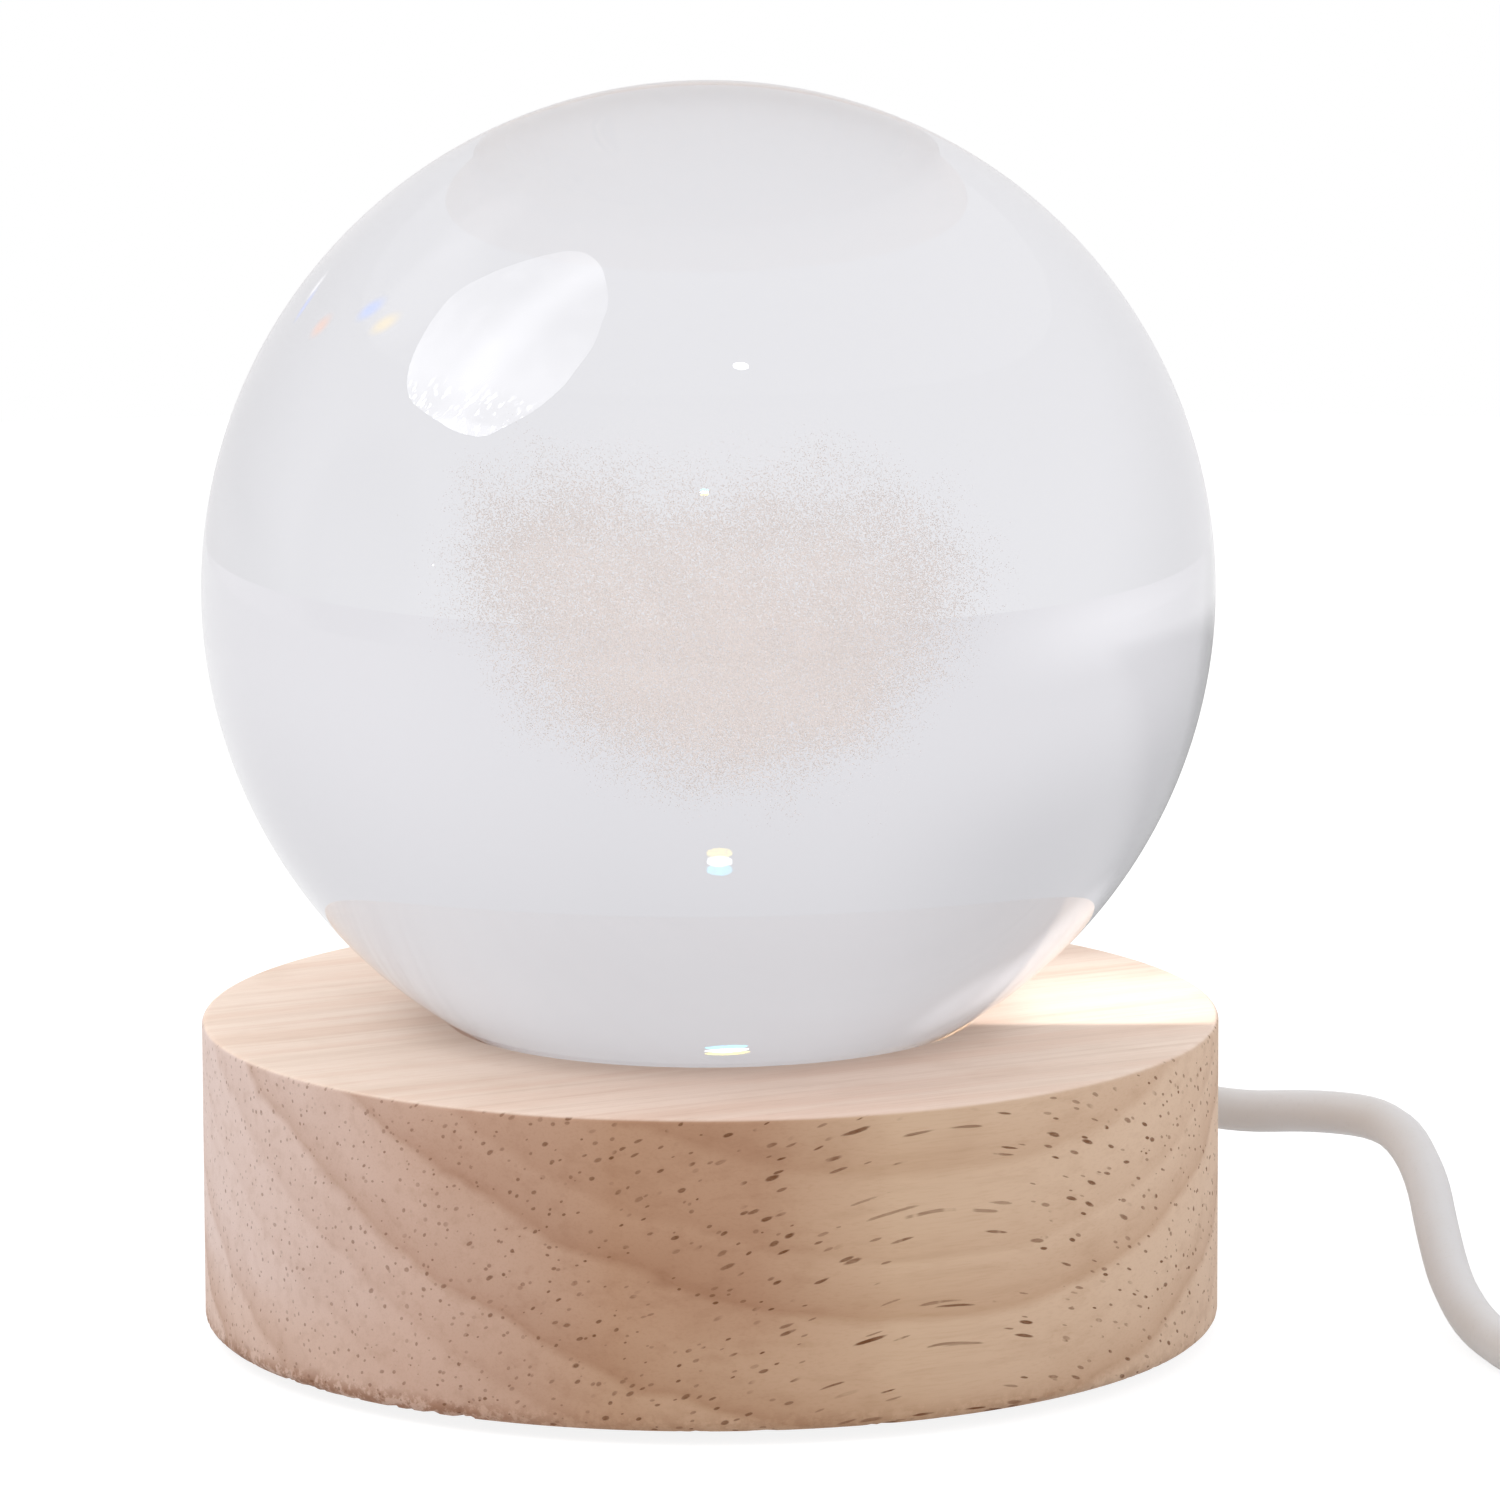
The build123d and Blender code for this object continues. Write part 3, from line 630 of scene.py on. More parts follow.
def chip_finish():
    """Small black ceramic chip with tinned ends."""
    material, place = new_material("black_ceramic")
    along = place.part("Y") + 8.0
    ends = (along * along).smooth(0.50, 0.62)
    grit = place.cloud(10.0, 3.0)
    black = grit.mixed((0.03, 0.03, 0.032), (0.055, 0.055, 0.06))
    return surface(material, {
        "Base Color": ends.mixed(black, (0.62, 0.62, 0.60)),
        "Metallic": ends,
        "Roughness": 0.5 - ends * 0.2 + grit * 0.1,
    })


def strap_finish():
    """Woven black strap with a nap of fine loops."""
    material, place = new_material("woven_strap")
    weave = place.placed((4.2, 4.2, 4.2)).cells(1.0, 0.35)
    lint = place.cloud(6.0, 4.0, 0.7)
    body = weave.smooth(0.2, 0.75).mixed((0.055, 0.055, 0.058), (0.022, 0.022, 0.024))
    return surface(material, {
        "Base Color": (lint.smooth(0.62, 0.8) * 0.5).mixed(body, (0.13, 0.13, 0.13)),
        "Roughness": 0.82 + lint * 0.15,
        "Sheen Weight": 0.35,
        "Normal": (lint * 0.4 - weave).relief(0.7, 0.12 * MM),
    })


# Operators

# The photograph's camera: place (m), turn, pitch and roll (radians), focal length and width in pixels
CAMERA_PLACE = (0.0020, -0.8226, 0.1951)
CAMERA_YAW, CAMERA_PITCH, CAMERA_ROLL = 0.0015, 0.17866, -0.0037
FOCAL_PIXELS, IMAGE_PIXELS = 10566, 1500
SENSOR_WIDTH = 36.0


class LAMP_OT_camera(bpy.types.Operator):
    """Sets up the camera at the photograph's viewing angle"""

    bl_idname = "lamp.camera"
    bl_label = "Camera"

    def execute(self, context):
        yaw, pitch, roll = CAMERA_YAW, CAMERA_PITCH, CAMERA_ROLL
        forward = Vector((
            math.sin(yaw) * math.cos(pitch),
            math.cos(yaw) * math.cos(pitch),
            -math.sin(pitch),
        ))
        right = Vector((math.cos(yaw), -math.sin(yaw), 0))
        up = right.cross(forward)
        level_right = math.cos(roll) * right + math.sin(roll) * up
        level_up = math.cos(roll) * up - math.sin(roll) * right
        lens = bpy.data.cameras.new("camera")
        lens.sensor_width = SENSOR_WIDTH
        lens.lens = SENSOR_WIDTH * FOCAL_PIXELS / IMAGE_PIXELS
        lens.clip_start = 0.01
        lens.clip_end = 20.0
        camera = bpy.data.objects.new("camera", lens)
        context.scene.collection.objects.link(camera)
        turn = Matrix((level_right, level_up, -forward)).transposed().to_4x4()
        camera.matrix_world = Matrix.Translation(CAMERA_PLACE) @ turn
        context.scene.camera = camera
        return {"FINISHED"}


def coil_points():
    """The put-away turns: layers that spiral in and out again, each climbing where it turns back."""
    step_angle = 2 * math.pi / COIL_POINTS
    cut = 0.75 + 0.25 * math.cos(step_angle)
    for step in range(COIL_TURNS * COIL_POINTS + 1):
        turns = step / COIL_POINTS
        within = turns % 4
        inward = min(within, 4 - within)
        radius = (COIL_MEAN_RADIUS + COIL_PITCH * (1 - inward)) / cut
        height = COIL_FLOOR
        for layer in (1, 2, 3):
            through = min(1.0, max(0.0, (turns - (2 * layer - 0.25)) / 0.5))
            height += COIL_PITCH * through * through * (3 - 2 * through)
        angle = step * step_angle
        across, back = COIL_CENTRE
        yield across + radius * math.cos(angle), back + radius * math.sin(angle), height


class LAMP_OT_cord(bpy.types.Operator):
    """Lays the cord from the base through its switch and coil to the plug"""

    bl_idname = "lamp.cord"
    bl_label = "Cord"

    def execute(self, context):
        sizes = context.scene.lamp_sizes
        heading = math.radians(EXIT_AZIMUTH)
        edge = WOOD_RADIUS / MM
        points = []
        for radius in (SHEATH_END_RADIUS, edge, edge + EXIT_RUN):
            points.append((radius * math.cos(heading), radius * math.sin(heading), EXIT_HEIGHT))
        points += LEAD_ROUTE + TO_COIL_ROUTE + list(coil_points()) + TO_PLUG_ROUTE
        line = bpy.data.curves.new("lamp_cord", "CURVE")
        line.dimensions = "3D"
        line.bevel_depth = sizes.cord_diameter / 2
        line.bevel_resolution = 5
        line.resolution_u = 6
        line.use_fill_caps = True
        spline = line.splines.new("NURBS")
        spline.points.add(len(points) - 1)
        for knot, point in zip(spline.points, points):
            knot.co = (*(value * MM for value in point), 1.0)
        spline.order_u = 3
        spline.use_endpoint_u = True
        spline.use_smooth = True
        cord = bpy.data.objects.new("lamp_cord", line)
        context.scene.collection.objects.link(cord)
        install(
            cord, "base", "cord_sheath", sheath_finish(context.scene.lamp_colours),
            "cord_entry", "cord_lead", "cord_to_coil", "cord_coil", "cord_to_plug",
        )
        return {"FINISHED"}


class LAMP_OT_ball(bpy.types.Operator):
    """Models the solid glass ball"""

    bl_idname = "lamp.ball"
    bl_label = "Glass ball"

    def execute(self, context):
        radius = context.scene.lamp_sizes.ball_diameter / 2
        clear_selection()
        bpy.ops.mesh.primitive_cube_add(size=1.2 * radius, location=BALL_CENTRE)
        ball = named("glass_ball")
        edit(ball)
        bpy.ops.mesh.subdivide(number_cuts=63)
        bpy.ops.transform.tosphere(value=1.0)
        leave()
        reach = sum(vertex.co.length for vertex in ball.data.vertices) / len(ball.data.vertices)
        edit(ball)
        factor = radius / reach
        bpy.ops.transform.resize(value=(factor, factor, factor), center_override=BALL_CENTRE)
        leave()
        settle(ball)
        smooth_by_angle(ball, 60)
        install(ball, "ball", "glass", glass_finish(context.scene.lamp_colours), "crystal_ball")
        return {"FINISHED"}


# The engraved cloud as lumps, in millimetres from the ball's centre towards the right, back and top:
# middle, half size and weight
CLOUD_LUMPS = [
    ((-8.8, 0.5, 3.5), (5.8, 5.0, 5.2), 0.62),
    ((-9.8, 0.3, 0.2), (5.0, 4.5, 4.5), 0.60),
    ((-1.4, 0.0, 2.2), (8.0, 5.0, 5.0), 0.60),
    ((7.0, -0.5, 3.5), (6.8, 5.0, 5.4), 0.62),
    ((11.5, -0.3, 0.2), (4.0, 4.0, 4.0), 0.70),
    ((1.2, 0.0, -2.9), (10.0, 6.0, 6.0), 1.00),
    ((-5.6, -0.4, -5.0), (5.5, 4.5, 4.0), 0.75),
    ((1.0, 0.4, -7.2), (6.2, 4.5, 4.9), 0.85),
    ((7.0, 0.2, -5.0), (5.0, 4.5, 4.2), 0.80),
]
CLOUD_BOX = ((-17, 17), (-8, 8), (-14, 11))
CLOUD_NAMES = ["engraved_cloud_" + str(number) for number in range(1, 6)]
# Fullness at which dots begin, the span to the densest part, and about the most that raggedness adds
CLOUD_EDGE, CLOUD_SPAN, RAGGED_MOST = 0.24, 1.1, 0.35


def cloud_spots(count):
    """Seeded places of the engraved dots and the cloud's fullness there, ragged at its edge."""
    draw = random.Random(11)
    spots = []
    while len(spots) < count:
        x, y, z = (draw.uniform(*span) for span in CLOUD_BOX)
        needed = draw.random() ** 0.8
        fullness = 0.0
        for (right, back, high), (wide, deep, tall), weight in CLOUD_LUMPS:
            a, b, c = (x - right) / wide, (y - back) / deep, (z - high) / tall
            reach = a * a + b * b + c * c
            if reach < 4:
                fullness += weight * math.exp(-1.3 * reach)
        if fullness + RAGGED_MOST - CLOUD_EDGE < needed * CLOUD_SPAN:
            continue
        spot = Vector((x, y, z))
        fullness += 0.26 * noise.noise(spot * 0.35) + 0.16 * noise.noise(spot * 1.3)
        share = min(1.0, (fullness - CLOUD_EDGE) / CLOUD_SPAN)
        if needed < share:
            spots.append((spot, share))
    return spots


class LAMP_OT_engraving(bpy.types.Operator):
    """Scatters the fine engraved dots inside the ball"""

    bl_idname = "lamp.engraving"
    bl_label = "Engraved cloud"

    def execute(self, context):
        sizes = context.scene.lamp_sizes
        finish = engraving_finish(context.scene.lamp_colours)
        spots = cloud_spots(sizes.dot_count)
        draw = random.Random(12)
        for index, name in enumerate(CLOUD_NAMES):
            clear_selection()
            bpy.ops.mesh.primitive_cone_add(
                vertices=3, radius1=0.47 * sizes.dot_diameter, depth=0.67 * sizes.dot_diameter,
            )
            dots = named(name)
            corners = [vertex.co.copy() for vertex in dots.data.vertices]
            sides = [tuple(face.vertices) for face in dots.data.polygons]
            vertices, faces = [], []
            for spot, fullness in spots[index::len(CLOUD_NAMES)]:
                centre = BALL_CENTRE + spot * MM
                turn = Matrix.Rotation(draw.uniform(0, math.pi), 3, "Z")
                turn = turn @ Matrix.Rotation(draw.uniform(0, 1), 3, "X")
                size = draw.uniform(0.6, 1.25) * min(1.0, 0.55 + 1.1 * fullness)
                first = len(vertices)
                vertices += [centre + turn @ (corner * size) for corner in corners]
                faces += [tuple(first + corner for corner in side) for side in sides]
            dots.data.clear_geometry()
            dots.data.from_pydata(vertices, [], faces)
            dots.data.update()
            install(dots, "ball", "glass", finish)
        return {"FINISHED"}


# The base's turned hollows in millimetres: radii of the bore, the pocket and the cover's rebate
BORE, POCKET, REBATE = 19.0, 27.0, 33.0
COVER_TOP = 2.8
SEAT_GAP = 0.2
# Cord hole: radius, length and how far out its middle lies
CORD_HOLE = (2.05, 19.0, 33.5)
# Screw holes: radius, bolt circle, azimuths (degrees), lower and upper end
PILOT_HOLES = [
    (1.15, 23.5, (103, 223, 343), 17.0, 22.4667),
    (1.35, 30.0, (0, 120, 240), 2.0, 8.5),
]
# Broken-out bottom edge: how far in and up it reaches, and where it has faded (m)
CHIP_BAND, CHIP_HEIGHT, CHIP_FADE = 0.0007, 0.0028, 0.0024
# Left of this (mm) the edge is torn deepest
TORN_SIDE = -12


def wood_profile():
    """The turned section in millimetres, from the outer bottom edge up, over the seat and down the bore."""
    outer, low, high = WOOD_RADIUS / MM, WOOD_LOW.z / MM, WOOD_HIGH.z / MM
    centre, seat = BALL_CENTRE.z / MM, BALL_RADIUS / MM + SEAT_GAP
    profile = [(outer - 0.55, low), (outer - 0.40, low + 0.12), (outer - 0.2, low + 0.3)]
    profile += [(outer - 0.06, low + 0.52), (outer, low + 0.8)]
    profile += [(outer, low + 0.8 + 0.3 * step) for step in range(1, 6)]
    walls = 12
    for step in range(1, walls):
        profile.append((outer, low + 2.3 + (high - 0.45 - low - 2.3) * step / walls))
    for degrees in range(0, 91, 15):
        angle = math.radians(degrees)
        profile.append((outer - 0.4 * (1 - math.cos(angle)), high - 0.4 * (1 - math.sin(angle))))
    rim = math.sqrt(seat ** 2 - (centre - high) ** 2)
    for step in range(1, 9):
        profile.append((outer - 0.4 + (rim + 0.12 - outer + 0.4) * step / 8, high))
    for step in range(7):
        radius = rim - 0.1 + (BORE - rim + 0.1) * step / 6
        profile.append((radius, centre - math.sqrt(seat ** 2 - radius ** 2)))
    roof = centre - BALL_RADIUS / MM - 1.0
    profile += [(BORE, (profile[-1][1] + roof) / 2), (BORE, roof), (23.0, roof), (POCKET, roof)]
    for step in range(1, 9):
        profile.append((POCKET, roof + (COVER_TOP - roof) * step / 8))
    profile += [(30.0, COVER_TOP), (REBATE, COVER_TOP), (REBATE, low), (36.0, low), (38.5, low)]
    return [(radius * MM, height * MM) for radius, height in profile]


def drill_bit(radius, length, place, turn):
    """A cylinder that a hole is cut with; radius and length in millimetres."""
    clear_selection()
    bpy.ops.mesh.primitive_cylinder_add(
        vertices=32, radius=radius * MM, depth=length * MM, location=place, rotation=turn,
    )
    return named("drill_bit")


def round_axis(radius, azimuth, height):
    """A place in metres from a radius and height in millimetres and an azimuth in radians."""
    return radius * math.cos(azimuth) * MM, radius * math.sin(azimuth) * MM, height * MM


class LAMP_OT_base(bpy.types.Operator):
    """Turns the wooden base, bores its cord hole and breaks out its bottom edge"""

    bl_idname = "lamp.base"
    bl_label = "Wooden base"

    def execute(self, context):
        depth = context.scene.lamp_sizes.chip_depth
        wood = lathe("turned_base", wood_profile(), 640)
        for vertex in wood.data.vertices:
            radius = math.hypot(vertex.co.x, vertex.co.y)
            rise = vertex.co.z - WOOD_LOW.z
            if radius < WOOD_RADIUS - CHIP_BAND or rise > CHIP_HEIGHT:
                continue
            spot = vertex.co / MM
            torn = 1.0 if spot.x < TORN_SIDE else 0.35
            coarse = noise.noise(Vector((spot.x * 0.45, spot.y * 0.45, 3.1)))
            fine = noise.noise(Vector((spot.x * 1.9, spot.y * 1.9, spot.z * 1.6 + 8.0)))
            bite = max(0.0, coarse * 0.9 + fine * 0.9 - 0.18)
            fade = max(0.0, 1.0 - rise / CHIP_FADE)
            inward = min(1.0, bite * 1.6) * fade * depth * torn
            vertex.co.x *= 1 - inward / radius
            vertex.co.y *= 1 - inward / radius
            vertex.co.z += inward * 0.35 * fade
        heading = math.radians(EXIT_AZIMUTH)
        hole, length, middle = CORD_HOLE
        drills = [drill_bit(
            hole, length, round_axis(middle, heading, EXIT_HEIGHT), (0, math.pi / 2, heading),
        )]
        for radius, bolt_circle, azimuths, foot, tip in PILOT_HOLES:
            for azimuth in azimuths:
                place = round_axis(bolt_circle, math.radians(azimuth), (foot + tip) / 2)
                drills.append(drill_bit(radius, tip - foot, place, (0, 0, 0)))
        drill = join(drills)
        settle(drill)
        apply_modifier(wood, "BOOLEAN", operation="DIFFERENCE", object=drill, solver="EXACT")
        bpy.data.objects.remove(drill)
        smooth_by_angle(wood, 32)
        install(wood, "base", "wood", wood_finish(context.scene.lamp_colours), "wood_base")
        return {"FINISHED"}


# Strap round the coil, as loops: width, height and band width (mm), and cuts (point in metres, normal)
STRAP_AZIMUTH = 200.0
STRAP_THICKNESS = 0.5
STRAP_LOOPS = [
    (9.25, 16.6, 5.0, ()),
    (10.3, 17.65, 4.8, (((0.0012, 0, 0), (-1, 0, 0)), ((0, 0, -0.004), (0, 0, -1)))),
]


def strap_band(wide, tall, width, cuts):
    """One loop of the strap, standing about the origin, cut open where it says."""
    clear_selection()
    bpy.ops.mesh.primitive_plane_add(size=1)
    band = named("strap_band")
    for vertex in band.data.vertices:
        vertex.co = (vertex.co.x * wide * MM, -width / 2 * MM, vertex.co.y * tall * MM)
    edit(band)
    bpy.ops.mesh.bevel(offset=1.5 * MM, segments=6, affect="VERTICES")
    everything()
    bpy.ops.mesh.delete(type="ONLY_FACE")
    everything()
    bpy.ops.mesh.subdivide(number_cuts=3)
    everything()
    for _ in range(6):
        bpy.ops.mesh.extrude_edges_move(TRANSFORM_OT_translate={"value": (0, width / 6 * MM, 0)})
    for plane_point, normal in cuts:
        everything()
        bpy.ops.mesh.bisect(plane_co=plane_point, plane_no=normal, clear_outer=True)
    everything()
    bpy.ops.mesh.normals_make_consistent(inside=False)
    leave()
    thickness = STRAP_THICKNESS * MM
    apply_modifier(band, "SOLIDIFY", thickness=thickness, offset=0.0, use_even_offset=True)
    apply_modifier(band, "BEVEL", width=0.12 * MM, segments=2, limit_method="ANGLE")
    return band


class LAMP_OT_strap(bpy.types.Operator):
    """Wraps the woven strap round the coil"""

    bl_idname = "lamp.strap"
    bl_label = "Coil strap"

    def execute(self, context):
        low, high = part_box("coil_tie")
        strap = join([strap_band(*loop) for loop in STRAP_LOOPS])
        edit(strap)
        bpy.ops.mesh.normals_make_consistent(inside=False)
        leave()
        turn = math.radians(STRAP_AZIMUTH)
        outward = Vector((math.cos(turn), math.sin(turn), 0))
        across = Vector((0, 0, 1)).cross(outward)
        middle = Vector((COIL_CENTRE[0] * MM, COIL_CENTRE[1] * MM, (low.z + high.z) / 2))
        place = Matrix.Translation(middle + outward * COIL_MEAN_RADIUS * MM)
        strap.matrix_world = place @ Matrix((outward, across, (0, 0, 1))).transposed().to_4x4()
        settle(strap)
        strap.name = strap.data.name = "coil_strap"
        smooth_by_angle(strap, 40)
        install(strap, "base", "tie_fabric", strap_finish(), "coil_tie")
        return {"FINISHED"}


class LAMP_OT_fittings(bpy.types.Operator):
    """Finishes the light stack, the bottom, the switch and the plug"""

    bl_idname = "lamp.fittings"
    bl_label = "Fittings"

    def execute(self, context):
        colours = context.scene.lamp_colours
        moulded = {
            "light_spacer": ("spacer_plastic", (0.84, 0.84, 0.82), 0.4),
            "plug_insert": ("insert_plastic", (0.80, 0.80, 0.79), 0.4),
            "bottom_cover": ("cover_plastic", colours.cover, 0.55, 0.6, 0.06),
            "cable_tie": ("natural_nylon", (0.76, 0.74, 0.68), 0.4),
            "wire_red": ("red_insulation", (0.55, 0.03, 0.025)),
            "wire_black": ("black_insulation", (0.03, 0.03, 0.032)),
            "switch_wires": ("inner_insulation", (0.03, 0.03, 0.032)),
            "switch_upper_shell": ("switch_plastic", colours.white_plastic, 0.27, 0.12),
            "switch_rocker": ("rocker_plastic", colours.white_plastic, 0.22, 0.08),
            "plug_grip": ("grip_plastic", colours.sheath, 0.5, 0.35),
        }
        finishes = {
            "foot_pads": rubber_finish(),
            "light_window": frosted_finish(),
            "led_board": board_finish(),
            "leds": lens_finish(),
            "resistors": chip_finish(),
            "switch_contacts": metal_finish("contact_brass", (0.75, 0.52, 0.20), 0.25),
            "plug_contacts": metal_finish("plug_brass", (0.80, 0.60, 0.26), 0.2),
            "plug_shell": metal_finish("plated_shell", (0.70, 0.70, 0.71), 0.24),
        }
        for name, look in moulded.items():
            finishes[name] = moulded_finish(*look)
        finishes["switch_lower_shell"] = finishes["switch_upper_shell"]
        steel = metal_finish("plated_steel", (0.60, 0.60, 0.60), 0.3, (3, 3, 3))
        for name in ("board_screws", "cover_screws", "switch_screws", "switch_pin"):
            finishes[name] = steel
        for name, material in finishes.items():
            give(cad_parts[name], material)
        return {"FINISHED"}


# Outline of the window as the ball mirrors it, in metres on a card that faces the ball
WINDOW_OUTLINE = [
    (0.103, -0.228), (0.176, -0.184), (0.225, -0.096), (0.255, 0.0), (0.193, 0.122),
    (0.125, 0.250), (0.035, 0.276), (-0.104, 0.246), (-0.213, 0.153), (-0.263, 0.033),
    (-0.259, -0.064), (-0.192, -0.196), (-0.094, -0.225),
]
WINDOW_AIM = (-101, 51)
CARD_DISTANCE = 0.7
# Window lamp: distance and sides (m), and the share of its light that stops at the glass
WINDOW_DISTANCE, WINDOW_SIDES = 0.9, (0.66, 0.6)
WINDOW_STOPPED = 0.4
# Flecks of painted light on the table, glowing where the ball would gather light, that only the ball's rim
# shows: middle (mm), length, width, turn, colour
LIGHT_FLECKS = [
    ((63.0, 60.0), 13.0, 5.0, 22, (1.5, 1.5, 1.5)),
    ((68.0, 64.0), 16.0, 6.0, 22, (0.80, 0.90, 1.35)),
    ((65.0, 87.0), 12.0, 10.0, 0, (1.25, 0.93, 0.80)),
    ((50.7, 99.2), 11.0, 9.0, 0, (0.84, 0.95, 1.30)),
    ((49.2, 109.4), 11.0, 9.0, 0, (1.25, 1.12, 0.86)),
]
# Small lamps: name, azimuth, elevation, width and height (m), watts, colour
POINT_LAMPS = [
    ("yellow", 180.7, 29.60, (0.034, 0.0115), 0.010, (1, 0.80, 0.05)),
    ("middle", 180.7, 30.10, (0.034, 0.0115), 0.016, (1, 1, 1)),
    ("blue", 180.7, 30.60, (0.034, 0.0115), 0.010, (0.10, 0.75, 1)),
    ("white", 167.2, 58.6, (0.055, 0.033), 0.05, (1, 1, 1)),
    ("speck", -116.1, 8.5, (0.006, 0.006), 0.012, (1, 1, 1)),
]
# Light gathered on the wood: a point of its front edge (mm), where it comes from, watts and width
POOL_FRONT = (34.0, -5.5)
POOL_AIM, POOL_DISTANCE = (-98, 51), 0.5
POOL_WATTS, POOL_SPREAD = 10.0, math.radians(7.4)
# The floor lies a hair under the faces that stand on it, so that none share its plane
FLOOR_GAP = 0.00003


def direction(azimuth, elevation):
    """Unit vector: azimuth from straight back towards the right, elevation upwards, in degrees."""
    turn, lift = math.radians(azimuth), math.radians(elevation)
    level = math.cos(lift)
    return Vector((math.sin(turn) * level, math.cos(turn) * level, math.sin(lift)))


def add_lamp(context, name, kind, place, aim, power, colour=(1, 1, 1)):
    """A lamp that shines from a place towards a point, with its own X axis across the picture's depth."""
    data = bpy.data.lights.new(name, kind)
    data.energy = power
    data.color = colour
    lamp = bpy.data.objects.new(name, data)
    context.scene.collection.objects.link(lamp)
    back = (place - aim).normalized()
    depth = back.cross(Vector((1, 0, 0))).normalized()
    turn = Matrix((depth, back.cross(depth), back)).transposed().to_4x4()
    lamp.matrix_world = Matrix.Translation(place) @ turn
    lamp.visible_camera = False
    return lamp


def area_lamp(context, name, aim, distance, sides, power, colour):
    """A flat lamp that faces the ball."""
    place = BALL_CENTRE + direction(*aim) * distance
    lamp = add_lamp(context, name, "AREA", place, BALL_CENTRE, power, colour)
    lamp.data.shape = "RECTANGLE"
    lamp.data.size_y, lamp.data.size = sides
    return lamp


def first_look(start):
    """1 where the camera sees a thing in any way before it lights, 1 if directly and 1 if mirrored."""
    eye, mirrored, through, depth = [start.node("LightPath", None, None, name) for name in (
        "Is Camera Ray", "Is Glossy Ray", "Is Transmission Ray", "Diffuse Depth",
    )]
    undimmed = 1.0 - depth.clamped()
    shown = eye + (mirrored + through) * undimmed
    return shown.clamped(), eye, mirrored * (1.0 - through)


def lobe(aim, azimuth, elevation, inner, outer):
    """1 around a direction, falling to 0 between two angles from it, in degrees."""
    ends = {0: aim, 1: direction(azimuth, elevation)}
    near = aim.node("VectorMath", {"operation": "DOT_PRODUCT"}, ends, 1)
    return near.smooth(math.cos(math.radians(outer)), math.cos(math.radians(inner)))


def white_room(scene, fill):
    """Surroundings: plain white to the eye, softly uneven in glass, and a soft fill as light."""
    world = bpy.data.worlds.new("white_room")
    scene.world = world
    world.use_nodes = True
    world.node_tree.nodes.clear()
    start = Signal(world.node_tree)
    shown, eye, _ = first_look(start)
    aim = start.node("TexCoord", None, None, "Generated")
    side, back, up = aim.part("X"), aim.part("Y"), aim.part("Z")
    right = (side * -1.0).smooth(0.15, 0.55)
    band = up.bump_at(-0.07, 0.10) * side.bump_at(-0.66, 0.34) * back.smooth(0.2, 0.5)
    seen = 0.95 - up.smooth(0.0, 0.5) * 0.10 - up.smooth(0.68, 0.85) * 0.06 + side.smooth(0.1, 0.5) * 0.045
    seen = seen - right * up.smooth(0.05, 0.3) * 0.10 - (1.0 - back.smooth(-0.6, 0.5)) * 0.16 + band * 0.14
    seen = seen + lobe(aim, -60, 41, 3, 13) * 0.38 + lobe(aim, -44, 45, 2, 9) * 0.22
    seen = seen - lobe(aim, -92, 7, 12, 23) * 0.28
    seen = eye.mixed(seen.coloured(0.99, 1.004), (1, 1, 1))
    light = ((side * 0.45 + back * 0.45 + 1.0) * fill).coloured(1.0, 1.02)
    ground = start.node("Background", None, {"Color": shown.mixed(light, seen)})
    start.node("OutputWorld", None, {"Surface": ground})


def white_floor(radius):
    """Floor: white to the eye, keeping a faint shadow, a plain pale grey as light, and in the glass a glow
    with painted shade.
    """
    clear_selection()
    bpy.ops.mesh.primitive_circle_add(
        vertices=96, radius=radius, fill_type="NGON", location=(0, 0, -FLOOR_GAP),
    )
    floor = named("floor")
    material, place = new_material("white_floor")
    shown, eye, mirrored = first_look(place)
    matt = place.node("BsdfDiffuse", None, {"Color": (0.8, 0.8, 0.8, 1)})
    faint = place.node("BsdfDiffuse", None, {"Color": (eye * 0.24).coloured()})
    x, y = place.part("X"), place.part("Y")
    far = place.from_axis()
    slant = (x * x) ** 0.5 / far
    # Painted shade: seen in the glass, the floor's glow is darker near the base, towards the sides, and
    # behind to the right in mirror images
    plain = 1.02 - slant.smooth(0.5, 0.95) * 0.15 - (1.0 - far.smooth(42.0, 64.0)) * 0.12
    behind = (x / far).smooth(0.05, 0.15) * y.smooth(20.0, 80.0) * (1.0 - far.smooth(300.0, 380.0))
    plain = plain - mirrored * behind * 0.55
    glow = place.node("Emission", None, {
        "Color": eye.mixed((1, 0.998, 1.005), (1, 1, 1)),
        "Strength": eye * 0.87 + (1.0 - eye) * plain,
    })
    bright = place.node("AddShader", None, {0: faint, 1: glow})
    mixed = place.node("MixShader", None, {0: shown, 1: matt, 2: bright})
    place.node("OutputMaterial", None, {"Surface": mixed})
    give(floor, material)


def only_shown(thing, shown_ray):
    """Hides a stage piece from all rays but one kind."""
    for kind in ("camera", "diffuse", "glossy", "transmission", "shadow"):
        setattr(thing, "visible_" + kind, kind == shown_ray)


